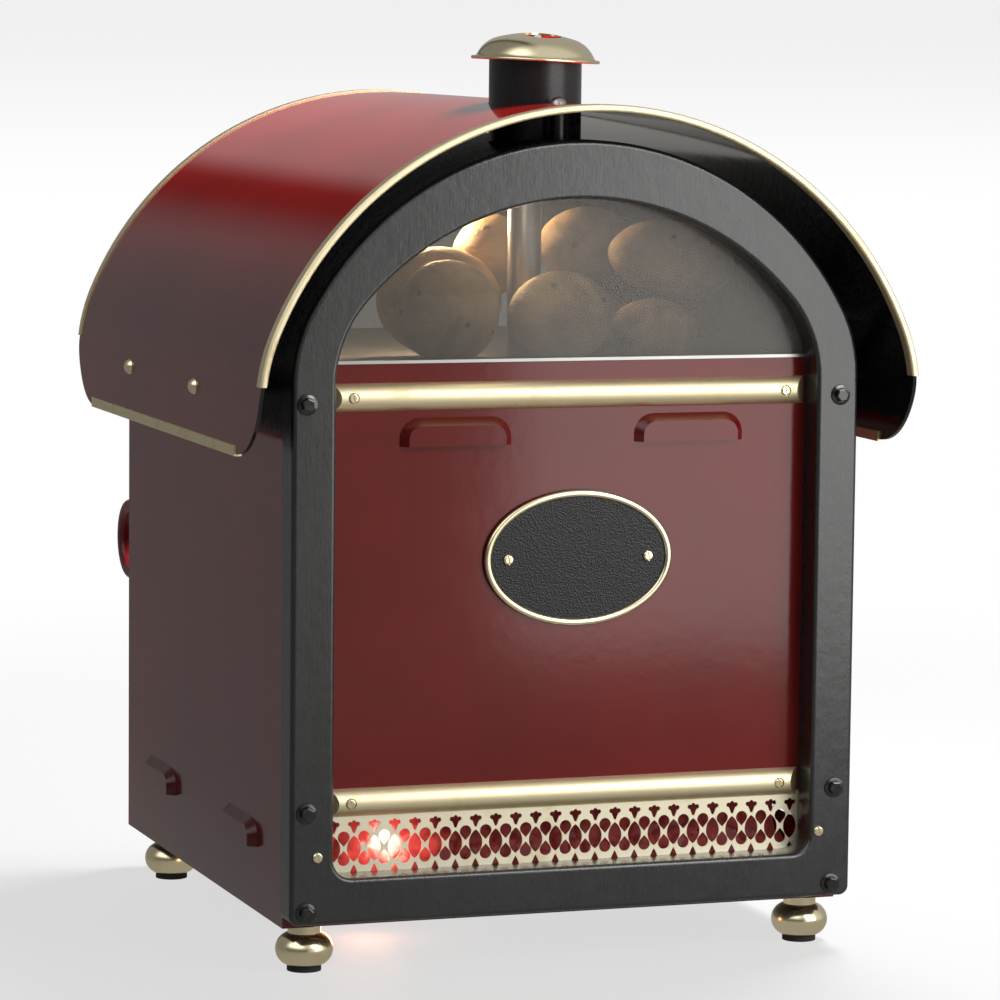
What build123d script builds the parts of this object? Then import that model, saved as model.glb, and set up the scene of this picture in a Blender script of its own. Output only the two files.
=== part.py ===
"""Baked potato oven: a cast arched front on an enamelled body, with a brass-edged canopy.

X runs across, the front faces -Y, Z is up, millimetres. The origin is under the middle of the
whole object, on the surface that it stands on. Depths are measured back from the face of the
cast front and heights from the cast front's bottom edge, which is how the object is set out.
"""
import os
from math import atan2, cos, degrees, radians, sin, sqrt

import numpy as np
from build123d import *

os.makedirs("parts", exist_ok=True)

# ---- Where things are measured from -------------------------------------------------------
foot_height = 38.0        # floor to the underside of the body
cast_lift = 6.5           # cast front's bottom edge above the underside of the body
canopy_front = 37.5       # canopy's front edge ahead of the cast front's face
body_depth = 517.0        # cast front's face to the back of the rear frame
handle_reach = 71.0       # oven door handle's rearmost point behind the rear frame
handle_back = body_depth + handle_reach
face_y = (canopy_front - handle_back) / 2
cast_z = foot_height + cast_lift

# ---- Cast front ---------------------------------------------------------------------------
cast_w, cast_h, cast_depth = 485.0, 626.5, 28.0
cast_swell, cast_shoulder_r, cast_corner_r = 16.5, 120.0, 8.0
cast_top_r = cast_w / 2 + cast_swell      # a swell is a top arc's radius over half its width
cast_edge_r, cast_lip_r = 4.0, 3.5
cast_side, cast_crown, open_bottom = 36.2, 47.0, 36.8     # casting beside, over and below its opening
open_w, open_top = cast_w - 2 * cast_side, cast_h - cast_crown
open_swell, open_shoulder_r, open_corner_r = 35.7, 100.0, 16.0
open_top_r = open_w / 2 + open_swell

# ---- Body ---------------------------------------------------------------------------------
sheet = 2.0               # side panels, roof, base and rear frame
body_inset = 2.0          # body's outside behind the casting's edge, sides and top
body_half = cast_w / 2 - body_inset
roof_top, roof_top_r = cast_h - body_inset, cast_top_r - body_inset
roof_shoulder_r = cast_shoulder_r - body_inset
side_top = cast_h - 236.0     # the side panels end here and the black roof starts
flange_lap, flange_crown_lap = 7.7, 6.5   # casting's cover over the folded flanges behind it
flange_half = open_w / 2 + flange_lap
flange_top, flange_top_r = open_top + flange_crown_lap, open_top_r + flange_crown_lap
flange_shoulder_r = open_shoulder_r + flange_crown_lap

# ---- Front panel, rails, badge, fret and window ------------------------------------------
panel_bottom, panel_top = 86.0, 447.5
panel_half = flange_half - 2.0
rail_ease = 1.3           # rails and strip end this far from the opening's sides
rail_half, rail_h, rail_depth = open_w / 2 - rail_ease, 22.8, 9.0
rail_heights = (420.6, 93.8)
rail_screw_x = rail_half - 19.0
strip_h, strip_depth, strip_proud = 2.5, 7.0, 2.0
glass = 4.0
hood_w, hood_h, hood_depth, hood_corner, hood_taper = 95.0, 23.0, 7.0, 17.0, 42.0
hood_wall = 1.6
front_hood_x, front_hood_shift, front_hood_z = 100.5, 3.0, 380.5
side_hood_depths, side_hood_z = (149.0, 402.0), 47.0
badge_w, badge_h, badge_x, badge_z = 162.0, 111.0, 8.0, 286.8
badge_base, badge_rim_h, badge_rim_w = 3.0, 5.5, 5.6
badge_screw_x = 60.5
fret_half, fret_bottom, fret_top, fret_sheet = 212.0, 26.0, 85.5, 1.2
fret_pitch, fret_columns, fret_shift = 17.29, 24, 0.8

# ---- Canopy and chimney -------------------------------------------------------------------
canopy_side_gap, canopy_crown_gap = 40.5, 31.5    # canopy's outside off the body's
canopy_half, canopy_top = body_half + canopy_side_gap, roof_top + canopy_crown_gap
canopy_swell, canopy_shoulder_r = 11.0, 150.0
canopy_top_r = canopy_half + canopy_swell
canopy_tall, rim_tall, canopy_overrun = 280.5, 220.5, 31.0
canopy_bottom, rim_bottom = canopy_top - canopy_tall, canopy_top - rim_tall
canopy_back = body_depth + canopy_overrun
canopy_sheet_t, trim_wall, trim_h = 3.0, 1.5, 11.0
canopy_front_corner, canopy_rear_corner, side_trim_h = 70.0, 53.0, 8.5
canopy_bolt_z, canopy_bolt_depths, crown_bolt_depth = canopy_bottom + 45.5, (158.0, 365.0), 64.0
chimney_depth, chimney_r, chimney_wall, chimney_tall = 120.0, 38.2, 1.5, 35.0
chimney_top = canopy_top + chimney_tall
cap_drop, cap_r, cap_wall, cap_lean, cap_bead_r = 1.7, 53.2, 1.5, 2.2, 1.5
cap_z = chimney_top - cap_drop
cap_crown_r, cap_crown_turn, cap_side_r, cap_side_turn = 115.0, 16.0, 26.0, 48.0
cap_flare_r, cap_flare_turn = 7.0, 42.0
cap_hole_r, cap_hole_forward = 15.0, 15.5
flue_depth, flue_r, flue_wall, flue_drop = 142.0, 14.0, 1.2, 27.0
flue_top = chimney_top - flue_drop

# ---- Feet ---------------------------------------------------------------------------------
foot_x, foot_depths = body_half - 23.5, (45.0, body_depth - 62.0)
foot_neck_r, foot_ball_r, foot_pad_r, foot_pad_h = 13.5, 23.5, 15.0, 5.0

# ---- Oven, display floor and what they hold ----------------------------------------------
liner_half, liner_bottom, liner_top, liner_front, liner_t = 187.5, 112.0, 382.0, 73.0, 1.5
floor_z, floor_t = 440.0, 2.0
shelf_heights, shelf_half, shelf_front, shelf_back = (175.0, 265.0), 180.0, 118.0, body_depth - 29.0
shelf_wire_r, shelf_cross_r, shelf_bar_r, shelf_bars = 3.0, 2.6, 1.6, 15
fan_z = (liner_bottom + liner_top) / 2
fan_r, fan_blades = 72.0, 10
baffle_depth = 106.0

# ---- Rear doors and controls --------------------------------------------------------------
seal_gap = 0.3            # between a closed door and the rear frame
door_left, door_right, door_bottom, door_top = -234.0, 222.0, 100.0, 395.0
seal_t, skin_depth = 3.7, 10.0
plug_half, plug_bottom, plug_top, plug_front = 182.0, 116.0, 378.0, body_depth - 19.0
handle_out, handle_grip, handle_w, handle_z = 36.0, 13.0, 14.0, 249.0
pin_r, pin_play, knuckle_r, knuckle_h = 3.0, 0.3, 5.5, 11.0
hatch_half, hatch_bottom, hatch_top = body_half - 30.5, 402.0, roof_top - 24.5
hatch_swell, hatch_shoulder_r = 20.0, 100.0
hatch_top_r = hatch_half + hatch_swell
hatch_t, hatch_rim = 12.0, 24.0
control_half, control_bottom, control_top = 205.0, 6.0, 92.0
knob_r, knob_len, spindle_r = 21.0, 20.0, 3.0
control_z = 49.0
thermostat_x, timer_x, rocker_xs, lens_xs, gland_x = -130.0, -55.0, (15.0, 55.0), (100.0, 124.0), 168.0
rocker_w, rocker_h = 13.0, 24.0


def up(height):
    """World height of a height above the cast front's bottom edge."""
    return cast_z + height


def facing(depth, x=0, height=-cast_z):
    """Upright plane this far back, looked at from the front: local y is up, its normal is -Y."""
    return Plane(origin=(x, face_y + depth, cast_z + height), x_dir=(1, 0, 0), z_dir=(0, -1, 0))


def rearward(depth, x=0, height=-cast_z):
    """Upright plane this far back, looked at from behind: its normal is +Y."""
    return Plane(origin=(x, face_y + depth, cast_z + height), x_dir=(-1, 0, 0), z_dir=(0, 1, 0))


def beside(x):
    """Upright plane across the body at x: local x runs back from the face, local y is up."""
    return Plane(origin=(x, face_y, 0), x_dir=(0, 1, 0), z_dir=(1, 0, 0))


def flat(height):
    """Level plane at this height: local y runs back from the face."""
    return Plane(origin=(0, face_y, cast_z + height))


def save(builder, name):
    """Label a finished piece and write it."""
    builder.part.label = name
    export_step(builder.part, f"parts/{name}.step")


def arch(half_w, top, top_r, shoulder_r, bottom, corner_r=0):
    """Arched face: flat foot, straight sides, tighter shoulders and one wide top arc."""
    reach = half_w - shoulder_r
    rise = sqrt((top_r - shoulder_r) ** 2 - reach ** 2)
    turn = degrees(atan2(rise, reach))
    spring = up(top - top_r + rise)
    foot = min(up(bottom), spring - 1)
    with BuildSketch() as face:
        with BuildLine():
            side = Line((half_w, foot), (half_w, spring))
            right = JernArc(side @ 1, side % 1, shoulder_r, turn)
            crown = JernArc(right @ 1, right % 1, top_r, 180 - 2 * turn)
            left = JernArc(crown @ 1, crown % 1, shoulder_r, turn)
            Polyline(left @ 1, (-half_w, foot), (half_w, foot))
        make_face()
        if up(bottom) > foot:
            with Locations((0, (foot + up(bottom)) / 2)):
                Rectangle(2 * half_w + 2, up(bottom) - foot, mode=Mode.SUBTRACT)
        if corner_r:
            fillet(face.vertices().group_by(Axis.Y)[0], corner_r)
    return face.sketch


def inset_arch(half_w, top, top_r, shoulder_r, bottom, inset):
    """The same arch, drawn in by an even distance all round its sides and top."""
    return arch(half_w - inset, top - inset, top_r - inset, shoulder_r - inset, bottom)


def hood(plane, start, depth, inset):
    """Raised part of a pressed louvre: sloped top and sides, cut off level at its lower edge."""
    half, tall, corner = hood_w / 2 - inset, hood_h - inset, hood_corner - inset
    with BuildPart() as raised:
        with BuildSketch(plane.offset(start)):
            with BuildLine():
                Polyline((-half, tall - corner), (-half, -tall), (half, -tall), (half, tall - corner))
                RadiusArc((half, tall - corner), (half - corner, tall), -corner)
                Line((half - corner, tall), (corner - half, tall))
                RadiusArc((corner - half, tall), (-half, tall - corner), -corner)
            make_face()
        extrude(amount=depth, taper=hood_taper)
        split(bisect_by=Plane(origin=plane.origin, x_dir=plane.x_dir, z_dir=plane.y_dir), keep=Keep.TOP)
    return raised.part


def hood_pair(plane):
    """A louvre's outside and the hollow under it, which opens downwards."""
    outside = hood(plane, 0, hood_depth, 0)
    hollow = hood(plane, -sheet, sheet + hood_depth - hood_wall, hood_wall)
    return outside, hollow


def round_screw(plane, shank_len):
    """Slotted screw with a domed head, its head's underside on the plane."""
    with BuildPart() as screw:
        with BuildSketch(plane):
            Circle(screw_head_r)
        extrude(amount=screw_head_h)
        fillet(screw.faces().sort_by(Axis(plane.origin, plane.z_dir))[-1].edges(), 1.6)
        with BuildSketch(plane):
            Circle(shank_r)
        extrude(amount=-shank_len)
        with BuildSketch(plane.offset(screw_head_h)):
            Rectangle(1.1, 3 * screw_head_r, rotation=12)
        extrude(amount=-1.2, mode=Mode.SUBTRACT)
    return screw.part


# ============================ Cast front and its fasteners ================================
cast_half, cast_bolt_top = cast_w / 2, cast_h - 208.5
cast_bolt_spots = [(13.0 - cast_half, up(11.0)), (13.0 - cast_half, up(91.5)),
                   (12.0 - cast_half, up(cast_bolt_top)), (cast_half - 17.5, up(11.0)),
                   (cast_half - 15.5, up(91.5)), (cast_half - 16.0, up(cast_bolt_top))]
cast_screw_spots = [(22.5 - cast_half, up(55.5)), (cast_half - 29.0, up(55.5))]
bolt_r, bolt_hole_r = 3.0, 3.3
shank_r, shank_clear_r, screw_head_r, screw_head_h = 1.8, 2.1, 4.3, 2.4
cast_face = arch(cast_w / 2, cast_h, cast_top_r, cast_shoulder_r, 0, cast_corner_r)
cast_opening = arch(open_w / 2, open_top, open_top_r, open_shoulder_r, open_bottom, open_corner_r)

with BuildPart() as front_casting:
    with BuildSketch(facing(0)):
        add(cast_face)
        add(cast_opening, mode=Mode.SUBTRACT)
    extrude(amount=-cast_depth)
    cast_front = front_casting.faces().sort_by(Axis.Y)[0]
    fillet(cast_front.outer_wire().edges(), cast_edge_r)
    cast_front = front_casting.faces().filter_by(Axis.Y).sort_by(Axis.Y)[0]
    fillet(cast_front.inner_wires()[0].edges(), cast_lip_r)
    with BuildSketch(facing(0)):
        with Locations(*cast_bolt_spots):
            Circle(bolt_hole_r)
        with Locations(*cast_screw_spots):
            Circle(shank_clear_r)
    extrude(amount=-cast_depth, mode=Mode.SUBTRACT)
save(front_casting, "front_casting")

bolt_flange_r, bolt_across, bolt_head = 8.5, 10.0, 6.0
with BuildPart() as casting_bolts:
    for x, z in cast_bolt_spots:
        seat = facing(0, x, z - cast_z)
        with BuildSketch(seat):
            Circle(bolt_flange_r)
        extrude(amount=1.6, taper=20)
        with BuildSketch(seat):
            RegularPolygon(bolt_across / 2, 6, major_radius=False, rotation=15)
        extrude(amount=bolt_head)
        with BuildSketch(seat):
            Circle(bolt_r)
        extrude(amount=-(cast_depth + sheet + 8))
save(casting_bolts, "casting_bolts")

# ============================ Body: sides, roof, base, rear frame =========================
hood_seats = [(depth, side_hood_z) for depth in side_hood_depths]


def side_panel(side):
    """Side panel with folded front flange and two louvres; side is -1 (left) or 1 (right)."""
    outer, inner = side * body_half, side * (body_half - sheet)
    with BuildPart() as panel:
        with BuildSketch(beside(inner)):
            with Locations(((cast_depth + body_depth - sheet) / 2, (foot_height + up(side_top)) / 2)):
                Rectangle(body_depth - sheet - cast_depth, up(side_top) - foot_height)
        extrude(amount=side * sheet)
        with BuildSketch(facing(cast_depth)):
            with Locations((side * (body_half + flange_half) / 2, (foot_height + up(side_top)) / 2)):
                Rectangle(body_half - flange_half, up(side_top) - foot_height)
            with Locations(*[spot for spot in cast_bolt_spots if spot[1] < up(side_top)]):
                Circle(bolt_hole_r, mode=Mode.SUBTRACT)
        extrude(amount=-sheet)
        for depth, height in hood_seats:
            seat = Plane(origin=(outer, face_y + depth, up(height)),
                         x_dir=(0, side, 0), z_dir=(side, 0, 0))
            outside, hollow = hood_pair(seat)
            add(outside)
            add(hollow, mode=Mode.SUBTRACT)
    return panel


save(side_panel(-1), "side_panel_left")
save(side_panel(1), "side_panel_right")

roof_size = (body_half, roof_top, roof_top_r, roof_shoulder_r)
chimney_y = face_y + chimney_depth
flue_y = face_y + flue_depth
side_bolt_spots = [(depth, up(canopy_bolt_z)) for depth in canopy_bolt_depths]
bolt_clear_r = 3.3
flue_hole_r = flue_r + 0.3

with BuildPart() as roof_shell:
    with BuildSketch(facing(cast_depth)):
        add(arch(*roof_size, side_top))
        add(inset_arch(*roof_size, side_top - 1, sheet), mode=Mode.SUBTRACT)
    extrude(amount=-(body_depth - sheet - cast_depth))
    with BuildSketch(facing(cast_depth)):
        add(arch(*roof_size, side_top))
        add(arch(flange_half, flange_top, flange_top_r, flange_shoulder_r, side_top - 1),
            mode=Mode.SUBTRACT)
        with Locations(*[spot for spot in cast_bolt_spots if spot[1] > up(side_top)]):
            Circle(bolt_hole_r, mode=Mode.SUBTRACT)
    extrude(amount=-sheet)
    with BuildSketch(flat(roof_top - 20)):
        with Locations((0, flue_depth)):
            Circle(flue_hole_r)
        with Locations((0, crown_bolt_depth)):
            Circle(bolt_clear_r)
    extrude(amount=30, mode=Mode.SUBTRACT)
    with BuildSketch(beside(-body_half - 1)):
        with Locations(*side_bolt_spots):
            Circle(bolt_clear_r)
    extrude(amount=2 * body_half + 2, mode=Mode.SUBTRACT)
save(roof_shell, "roof_shell")

foot_spots = [(side * foot_x, depth) for side in (-1, 1) for depth in foot_depths]
stud_r, stud_clear_r, stud_len = 4.0, 4.3, 9.0
with BuildPart() as base_plate:
    with BuildSketch(flat(-cast_lift)):
        with Locations((0, (cast_depth + sheet + body_depth - sheet) / 2)):
            Rectangle(2 * (body_half - sheet), body_depth - 2 * sheet - cast_depth)
        with Locations(*foot_spots):
            Circle(stud_clear_r, mode=Mode.SUBTRACT)
    extrude(amount=sheet)
save(base_plate, "base_plate")

hatch_opening = (hatch_half - 14, hatch_top - 14, hatch_top_r - 14, hatch_shoulder_r - 14)
with BuildPart() as rear_frame:
    with BuildSketch(facing(body_depth - sheet)):
        add(arch(*roof_size, -cast_lift))
        with Locations((0, up((liner_bottom + liner_top) / 2))):
            Rectangle(2 * liner_half, liner_top - liner_bottom, mode=Mode.SUBTRACT)
        with Locations((0, up(control_z))):
            Rectangle(2 * control_half - 30, control_top - control_bottom - 24, mode=Mode.SUBTRACT)
        add(arch(*hatch_opening, floor_z), mode=Mode.SUBTRACT)
    extrude(amount=-sheet)
save(rear_frame, "rear_frame")

# ============================ Front panel, rails, badge ===================================
panel_mid = (panel_bottom + panel_top) / 2
rail_screw_spots = [(side * rail_screw_x, up(z)) for side in (-1, 1) for z in rail_heights]
badge_screw_spots = [(badge_x + side * badge_screw_x, up(badge_z)) for side in (-1, 1)]

with BuildPart() as front_panel:
    with BuildSketch(facing(cast_depth)):
        with Locations((0, up(panel_mid))):
            Rectangle(2 * panel_half, panel_top - panel_bottom)
        with Locations(*rail_screw_spots, *badge_screw_spots):
            Circle(shank_clear_r, mode=Mode.SUBTRACT)
    extrude(amount=-sheet)
    for side in (-1, 1):
        outside, hollow = hood_pair(facing(cast_depth, side * front_hood_x + front_hood_shift, front_hood_z))
        add(outside)
        add(hollow, mode=Mode.SUBTRACT)
save(front_panel, "front_panel")

screw_seat = 1.8
for name, height in zip(("upper_rail", "lower_rail"), rail_heights):
    with BuildPart() as rail:
        with BuildSketch(beside(-rail_half)):
            with BuildLine():
                foot = Line((cast_depth, up(height) - rail_h / 2), (cast_depth, up(height) + rail_h / 2))
                ThreePointArc(foot @ 1, (cast_depth - rail_depth, up(height)), foot @ 0)
            make_face()
        extrude(amount=2 * rail_half)
        with BuildSketch(flat(height - rail_h)):
            with BuildLine():
                Polyline((-rail_half, cast_depth), (rail_half, cast_depth),
                         (rail_half - rail_depth, cast_depth - rail_depth),
                         (rail_depth - rail_half, cast_depth - rail_depth), close=True)
            make_face()
        extrude(amount=2 * rail_h, mode=Mode.INTERSECT)
        with BuildSketch(facing(cast_depth - rail_depth)):
            with Locations(*[(side * rail_screw_x, up(height)) for side in (-1, 1)]):
                Circle(shank_clear_r)
        extrude(amount=-rail_depth, mode=Mode.SUBTRACT)
        with BuildSketch(facing(cast_depth - rail_depth)):
            with Locations(*[(side * rail_screw_x, up(height)) for side in (-1, 1)]):
                Circle(screw_head_r + 0.3)
        extrude(amount=-screw_seat, mode=Mode.SUBTRACT)
    save(rail, name)

with BuildPart() as badge:
    with BuildSketch(facing(cast_depth, badge_x, badge_z)):
        Ellipse(badge_w / 2, badge_h / 2)
    extrude(amount=badge_rim_h)
    with BuildSketch(facing(cast_depth - badge_base, badge_x, badge_z)):
        Ellipse(badge_w / 2 - badge_rim_w, badge_h / 2 - badge_rim_w)
    extrude(amount=badge_rim_h, mode=Mode.SUBTRACT)
    fillet(badge.faces().sort_by(Axis.Y)[0].edges(), 2.3)
    with BuildSketch(facing(cast_depth)):
        with Locations(*badge_screw_spots):
            Circle(shank_clear_r)
    extrude(amount=badge_base, mode=Mode.SUBTRACT)
save(badge, "badge")

with BuildPart() as brass_screws:
    for x, z in cast_screw_spots:
        add(round_screw(facing(0, x, z - cast_z), cast_depth - 4))
    for x, z in rail_screw_spots:
        add(round_screw(facing(cast_depth - rail_depth + screw_seat, x, z - cast_z), rail_depth + sheet))
    for x, z in badge_screw_spots:
        add(round_screw(facing(cast_depth - badge_base, x, z - cast_z), badge_base + sheet + 2))
save(brass_screws, "brass_screws")

# ============================ Pierced fret along the bottom ===============================
# Each pitch has a pointed oval between two crossing loops, a three-lobed cut above it, a bell
# notch below it, and a teardrop above and below each crossing.
oval_tall, oval_wide = 21.2, 11.6
with BuildSketch() as oval:
    with BuildLine():
        ThreePointArc((0, -oval_tall / 2), (oval_wide / 2, 0), (0, oval_tall / 2))
        ThreePointArc((0, oval_tall / 2), (-oval_wide / 2, 0), (0, -oval_tall / 2))
    make_face()

lobe_r, lobe_out, stem_tall = 1.9, 3.2, 7.2
with BuildSketch() as clover:
    with Locations((-lobe_out, 0), (lobe_out, 0), (0, 1.2)):
        Circle(lobe_r)
    with BuildLine():
        Polyline((-lobe_out, -1.2), (lobe_out, -1.2), (0.9, -stem_tall), (-0.9, -stem_tall), close=True)
    make_face()
    Rectangle(2 * lobe_out, 2.6)

drop_r, drop_tall, drop_point_r = 5.0, 12.2, 0.5
with BuildSketch() as drop:
    Circle(drop_r)
    with Locations((0, drop_r + drop_point_r - drop_tall)):
        Circle(drop_point_r)
    make_hull()

bell_tall, bell_half, bell_neck = 10.5, 5.0, 1.6
with BuildSketch() as bell:
    with BuildLine():
        Polyline((-bell_half, -bell_tall), (bell_half, -bell_tall), (bell_neck, -3.0), (0, 0),
                 (-bell_neck, -3.0), close=True)
    make_face()

oval_z, clover_z, drop_upper_z, drop_lower_z, bell_z = 55.8, 75.9, 65.2, 47.0, 43.2
column_xs = [fret_shift + (i - (fret_columns - 1) / 2) * fret_pitch for i in range(fret_columns)]
between_xs = [x + fret_pitch / 2 for x in column_xs[:-1]]
fret_mid = (fret_bottom + fret_top) / 2

with BuildPart() as fender_fret:
    with BuildSketch(facing(cast_depth)):
        with Locations((0, up(fret_mid))):
            Rectangle(2 * fret_half, fret_top - fret_bottom)
        with Locations(*[(x, up(oval_z)) for x in column_xs]):
            add(oval.sketch, mode=Mode.SUBTRACT)
        with Locations(*[(x, up(clover_z)) for x in column_xs]):
            add(clover.sketch, mode=Mode.SUBTRACT)
        with Locations(*[(x, up(drop_upper_z)) for x in between_xs]):
            add(drop.sketch, mode=Mode.SUBTRACT)
        with Locations(*[Location((x, up(drop_lower_z)), 180) for x in between_xs]):
            add(drop.sketch, mode=Mode.SUBTRACT)
        with Locations(*[(x, up(bell_z)) for x in column_xs]):
            add(bell.sketch, mode=Mode.SUBTRACT)
    extrude(amount=-fret_sheet)
save(fender_fret, "fender_fret")

# ============================ Window ======================================================
with BuildPart() as window_strip:
    with BuildSketch(facing(cast_depth - strip_proud)):
        with Locations((0, up(panel_top + strip_h / 2))):
            Rectangle(2 * rail_half, strip_h)
    extrude(amount=-strip_depth)
save(window_strip, "window_strip")

with BuildPart() as window_glass:
    with BuildSketch(facing(cast_depth)):
        add(inset_arch(flange_half, flange_top, flange_top_r, flange_shoulder_r, panel_top + strip_h, 0.5))
    extrude(amount=-glass)
save(window_glass, "window_glass")

# ============================ Glowing coals behind the fret ===============================
coal_half, coal_front, coal_back = 196.0, 34.0, 112.0
coal_low, coal_high, coal_t = 14.0, 84.0, 4.0
with BuildPart() as coal_bed:
    with BuildSketch(beside(-coal_half)):
        with BuildLine():
            Polyline((coal_front, up(-cast_lift + sheet)), (coal_front, up(coal_low)), (70, up(coal_high)),
                     (coal_back, up(coal_high)), (coal_back, up(coal_high) - coal_t),
                     (72, up(coal_high) - coal_t), (coal_front + coal_t, up(coal_low)),
                     (coal_front + coal_t, up(-cast_lift + sheet)), close=True)
        make_face()
    extrude(amount=2 * coal_half)
save(coal_bed, "coal_bed")

lamp_foot_z = -cast_lift + sheet
coal_lamp_x, coal_lamp_depth = -140.0, 88.0
display_lamp_x, display_lamp_depth = -6.0, 240.0
holder_r, holder_h, lamp_r, lamp_len = 12.0, 20.0, 15.0, 40.0


def bulb(plane, ball_r, length):
    """Pear-shaped lamp whose cap starts on the plane."""
    neck, centre = holder_r - 2.0, length - ball_r
    waist, flank = radians(-35), radians(25)
    with BuildPart() as lamp:
        with BuildSketch(Plane(origin=plane.origin, x_dir=plane.x_dir, z_dir=-plane.y_dir)):
            with BuildLine():
                low = (ball_r * cos(waist), centre + ball_r * sin(waist))
                Polyline((0, length), (0, 0), (neck, 0), (neck, low[1] - 6), low)
                ThreePointArc(low, (ball_r * cos(flank), centre + ball_r * sin(flank)), (0, length))
            make_face()
        revolve(axis=Axis(plane.origin, plane.z_dir))
    return lamp.part


def roof_under(x):
    """Height of the roof's underside at x, near the crown."""
    return roof_top - roof_top_r + sqrt((roof_top_r - sheet) ** 2 - x ** 2)


display_lamp_z = roof_under(abs(display_lamp_x) + holder_r)
with BuildPart() as lamp_holders:
    with BuildSketch(Plane(origin=(coal_lamp_x, face_y + coal_lamp_depth, up(lamp_foot_z)))):
        Circle(holder_r)
    extrude(amount=holder_h)
    with BuildSketch(Plane(origin=(display_lamp_x, face_y + display_lamp_depth, up(display_lamp_z)))):
        Circle(holder_r)
    extrude(amount=-holder_h)
save(lamp_holders, "lamp_holders")

with BuildPart() as coal_lamp:
    add(bulb(Plane(origin=(coal_lamp_x, face_y + coal_lamp_depth, up(lamp_foot_z) + holder_h)),
             lamp_r, lamp_len))
save(coal_lamp, "coal_lamp")

with BuildPart() as display_lamp:
    add(bulb(Plane(origin=(display_lamp_x, face_y + display_lamp_depth, up(display_lamp_z) - holder_h),
                   x_dir=(1, 0, 0), z_dir=(0, 0, -1)), lamp_r, lamp_len))
save(display_lamp, "display_lamp")

# ============================ Canopy ======================================================
canopy_size = (canopy_half, canopy_top, canopy_top_r, canopy_shoulder_r)
sheet_bottom = canopy_bottom + trim_wall


def canopy_ring(outer_inset, inner_inset, bottom):
    """Section of the canopy between two even insets from the trims' outer face."""
    outer = inset_arch(*canopy_size, bottom, outer_inset)
    inner = inset_arch(*canopy_size, bottom - 1, inner_inset)
    with BuildSketch() as ring:
        add(outer)
        add(inner, mode=Mode.SUBTRACT)
    return ring.sketch


sheet_section = canopy_ring(trim_wall, trim_wall + canopy_sheet_t, sheet_bottom)
sheet_depth = canopy_back + canopy_front - 2 * trim_wall
with BuildPart() as canopy_sheet:
    with BuildSketch(facing(trim_wall - canopy_front)):
        add(sheet_section)
    extrude(amount=-sheet_depth)
    with BuildSketch(beside(-canopy_half - 1)) as outline:
        with Locations(((canopy_back - canopy_front) / 2, up((sheet_bottom + canopy_top) / 2))):
            Rectangle(sheet_depth, canopy_top - sheet_bottom)
        foot_corners = outline.vertices().group_by(Axis.Y)[0].sort_by(Axis.X)
        fillet(foot_corners[0], canopy_front_corner)
        fillet(outline.vertices().group_by(Axis.Y)[0].sort_by(Axis.X)[-1], canopy_rear_corner)
    extrude(amount=2 * canopy_half + 2, mode=Mode.INTERSECT)
    with BuildSketch(flat(canopy_top - 40)):
        with Locations((0, chimney_depth)):
            Circle(chimney_r + 0.6)
        with Locations((0, crown_bolt_depth)):
            Circle(bolt_clear_r)
    extrude(amount=50, mode=Mode.SUBTRACT)
    with BuildSketch(beside(-canopy_half - 1)):
        with Locations(*side_bolt_spots):
            Circle(bolt_clear_r)
    extrude(amount=2 * canopy_half + 2, mode=Mode.SUBTRACT)
save(canopy_sheet, "canopy_sheet")

trim_section = canopy_ring(0, 2 * trim_wall + canopy_sheet_t, rim_bottom)
slot_section = canopy_ring(trim_wall, trim_wall + canopy_sheet_t, rim_bottom)
for name, start, slot_start in (("canopy_trim_front", -canopy_front, trim_wall - canopy_front),
                                ("canopy_trim_rear", canopy_back - trim_h, canopy_back - trim_h)):
    with BuildPart() as trim:
        with BuildSketch(facing(start)):
            add(trim_section)
        extrude(amount=-trim_h)
        with BuildSketch(facing(slot_start)):
            add(slot_section)
        extrude(amount=-(trim_h - trim_wall), mode=Mode.SUBTRACT)
        nose = trim.faces().filter_by(Axis.Y).sort_by(Axis.Y)[0 if start < 0 else -1]
        fillet(nose.edges().filter_by(lambda edge: edge.length > 20), 2.2)
    save(trim, name)

side_trim_start = canopy_front_corner - canopy_front
side_trim_end = canopy_back - trim_wall - canopy_rear_corner
side_trim_len = side_trim_end - side_trim_start
side_trim_mid = (side_trim_start + side_trim_end) / 2
with BuildPart() as canopy_side_trims:
    for side in (-1, 1):
        middle = side * (canopy_half - trim_wall - canopy_sheet_t / 2)
        with BuildSketch(flat(canopy_bottom)):
            with Locations((middle, side_trim_mid)):
                Rectangle(2 * trim_wall + canopy_sheet_t, side_trim_len)
        extrude(amount=side_trim_h)
        with BuildSketch(flat(sheet_bottom)):
            with Locations((middle, side_trim_mid)):
                Rectangle(canopy_sheet_t, side_trim_len)
        extrude(amount=side_trim_h, mode=Mode.SUBTRACT)
save(canopy_side_trims, "canopy_side_trims")

sheet_outer = canopy_half - trim_wall
sheet_crown = canopy_top - trim_wall
spacer_r, spacer_ease = 7.0, 0.1
shoulder_ease = 0.5       # the canopy already curves in at the height of the side bolts
side_seats = [Plane(origin=(side * sheet_outer, face_y + depth, up(canopy_bolt_z)), x_dir=(0, 1, 0),
                    z_dir=(side, 0, 0)) for side in (-1, 1) for depth in canopy_bolt_depths]
crown_seats = [Plane(origin=(0, face_y + crown_bolt_depth, up(sheet_crown)))]
side_grip = sheet_outer - body_half + sheet
crown_grip = sheet_crown - roof_top + sheet
dome_r, dome_h, nut_across, nut_h = 6.8, 5.2, 10.0, 5.0
dome_ball_r = (dome_r ** 2 + dome_h ** 2) / (2 * dome_h)

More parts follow.
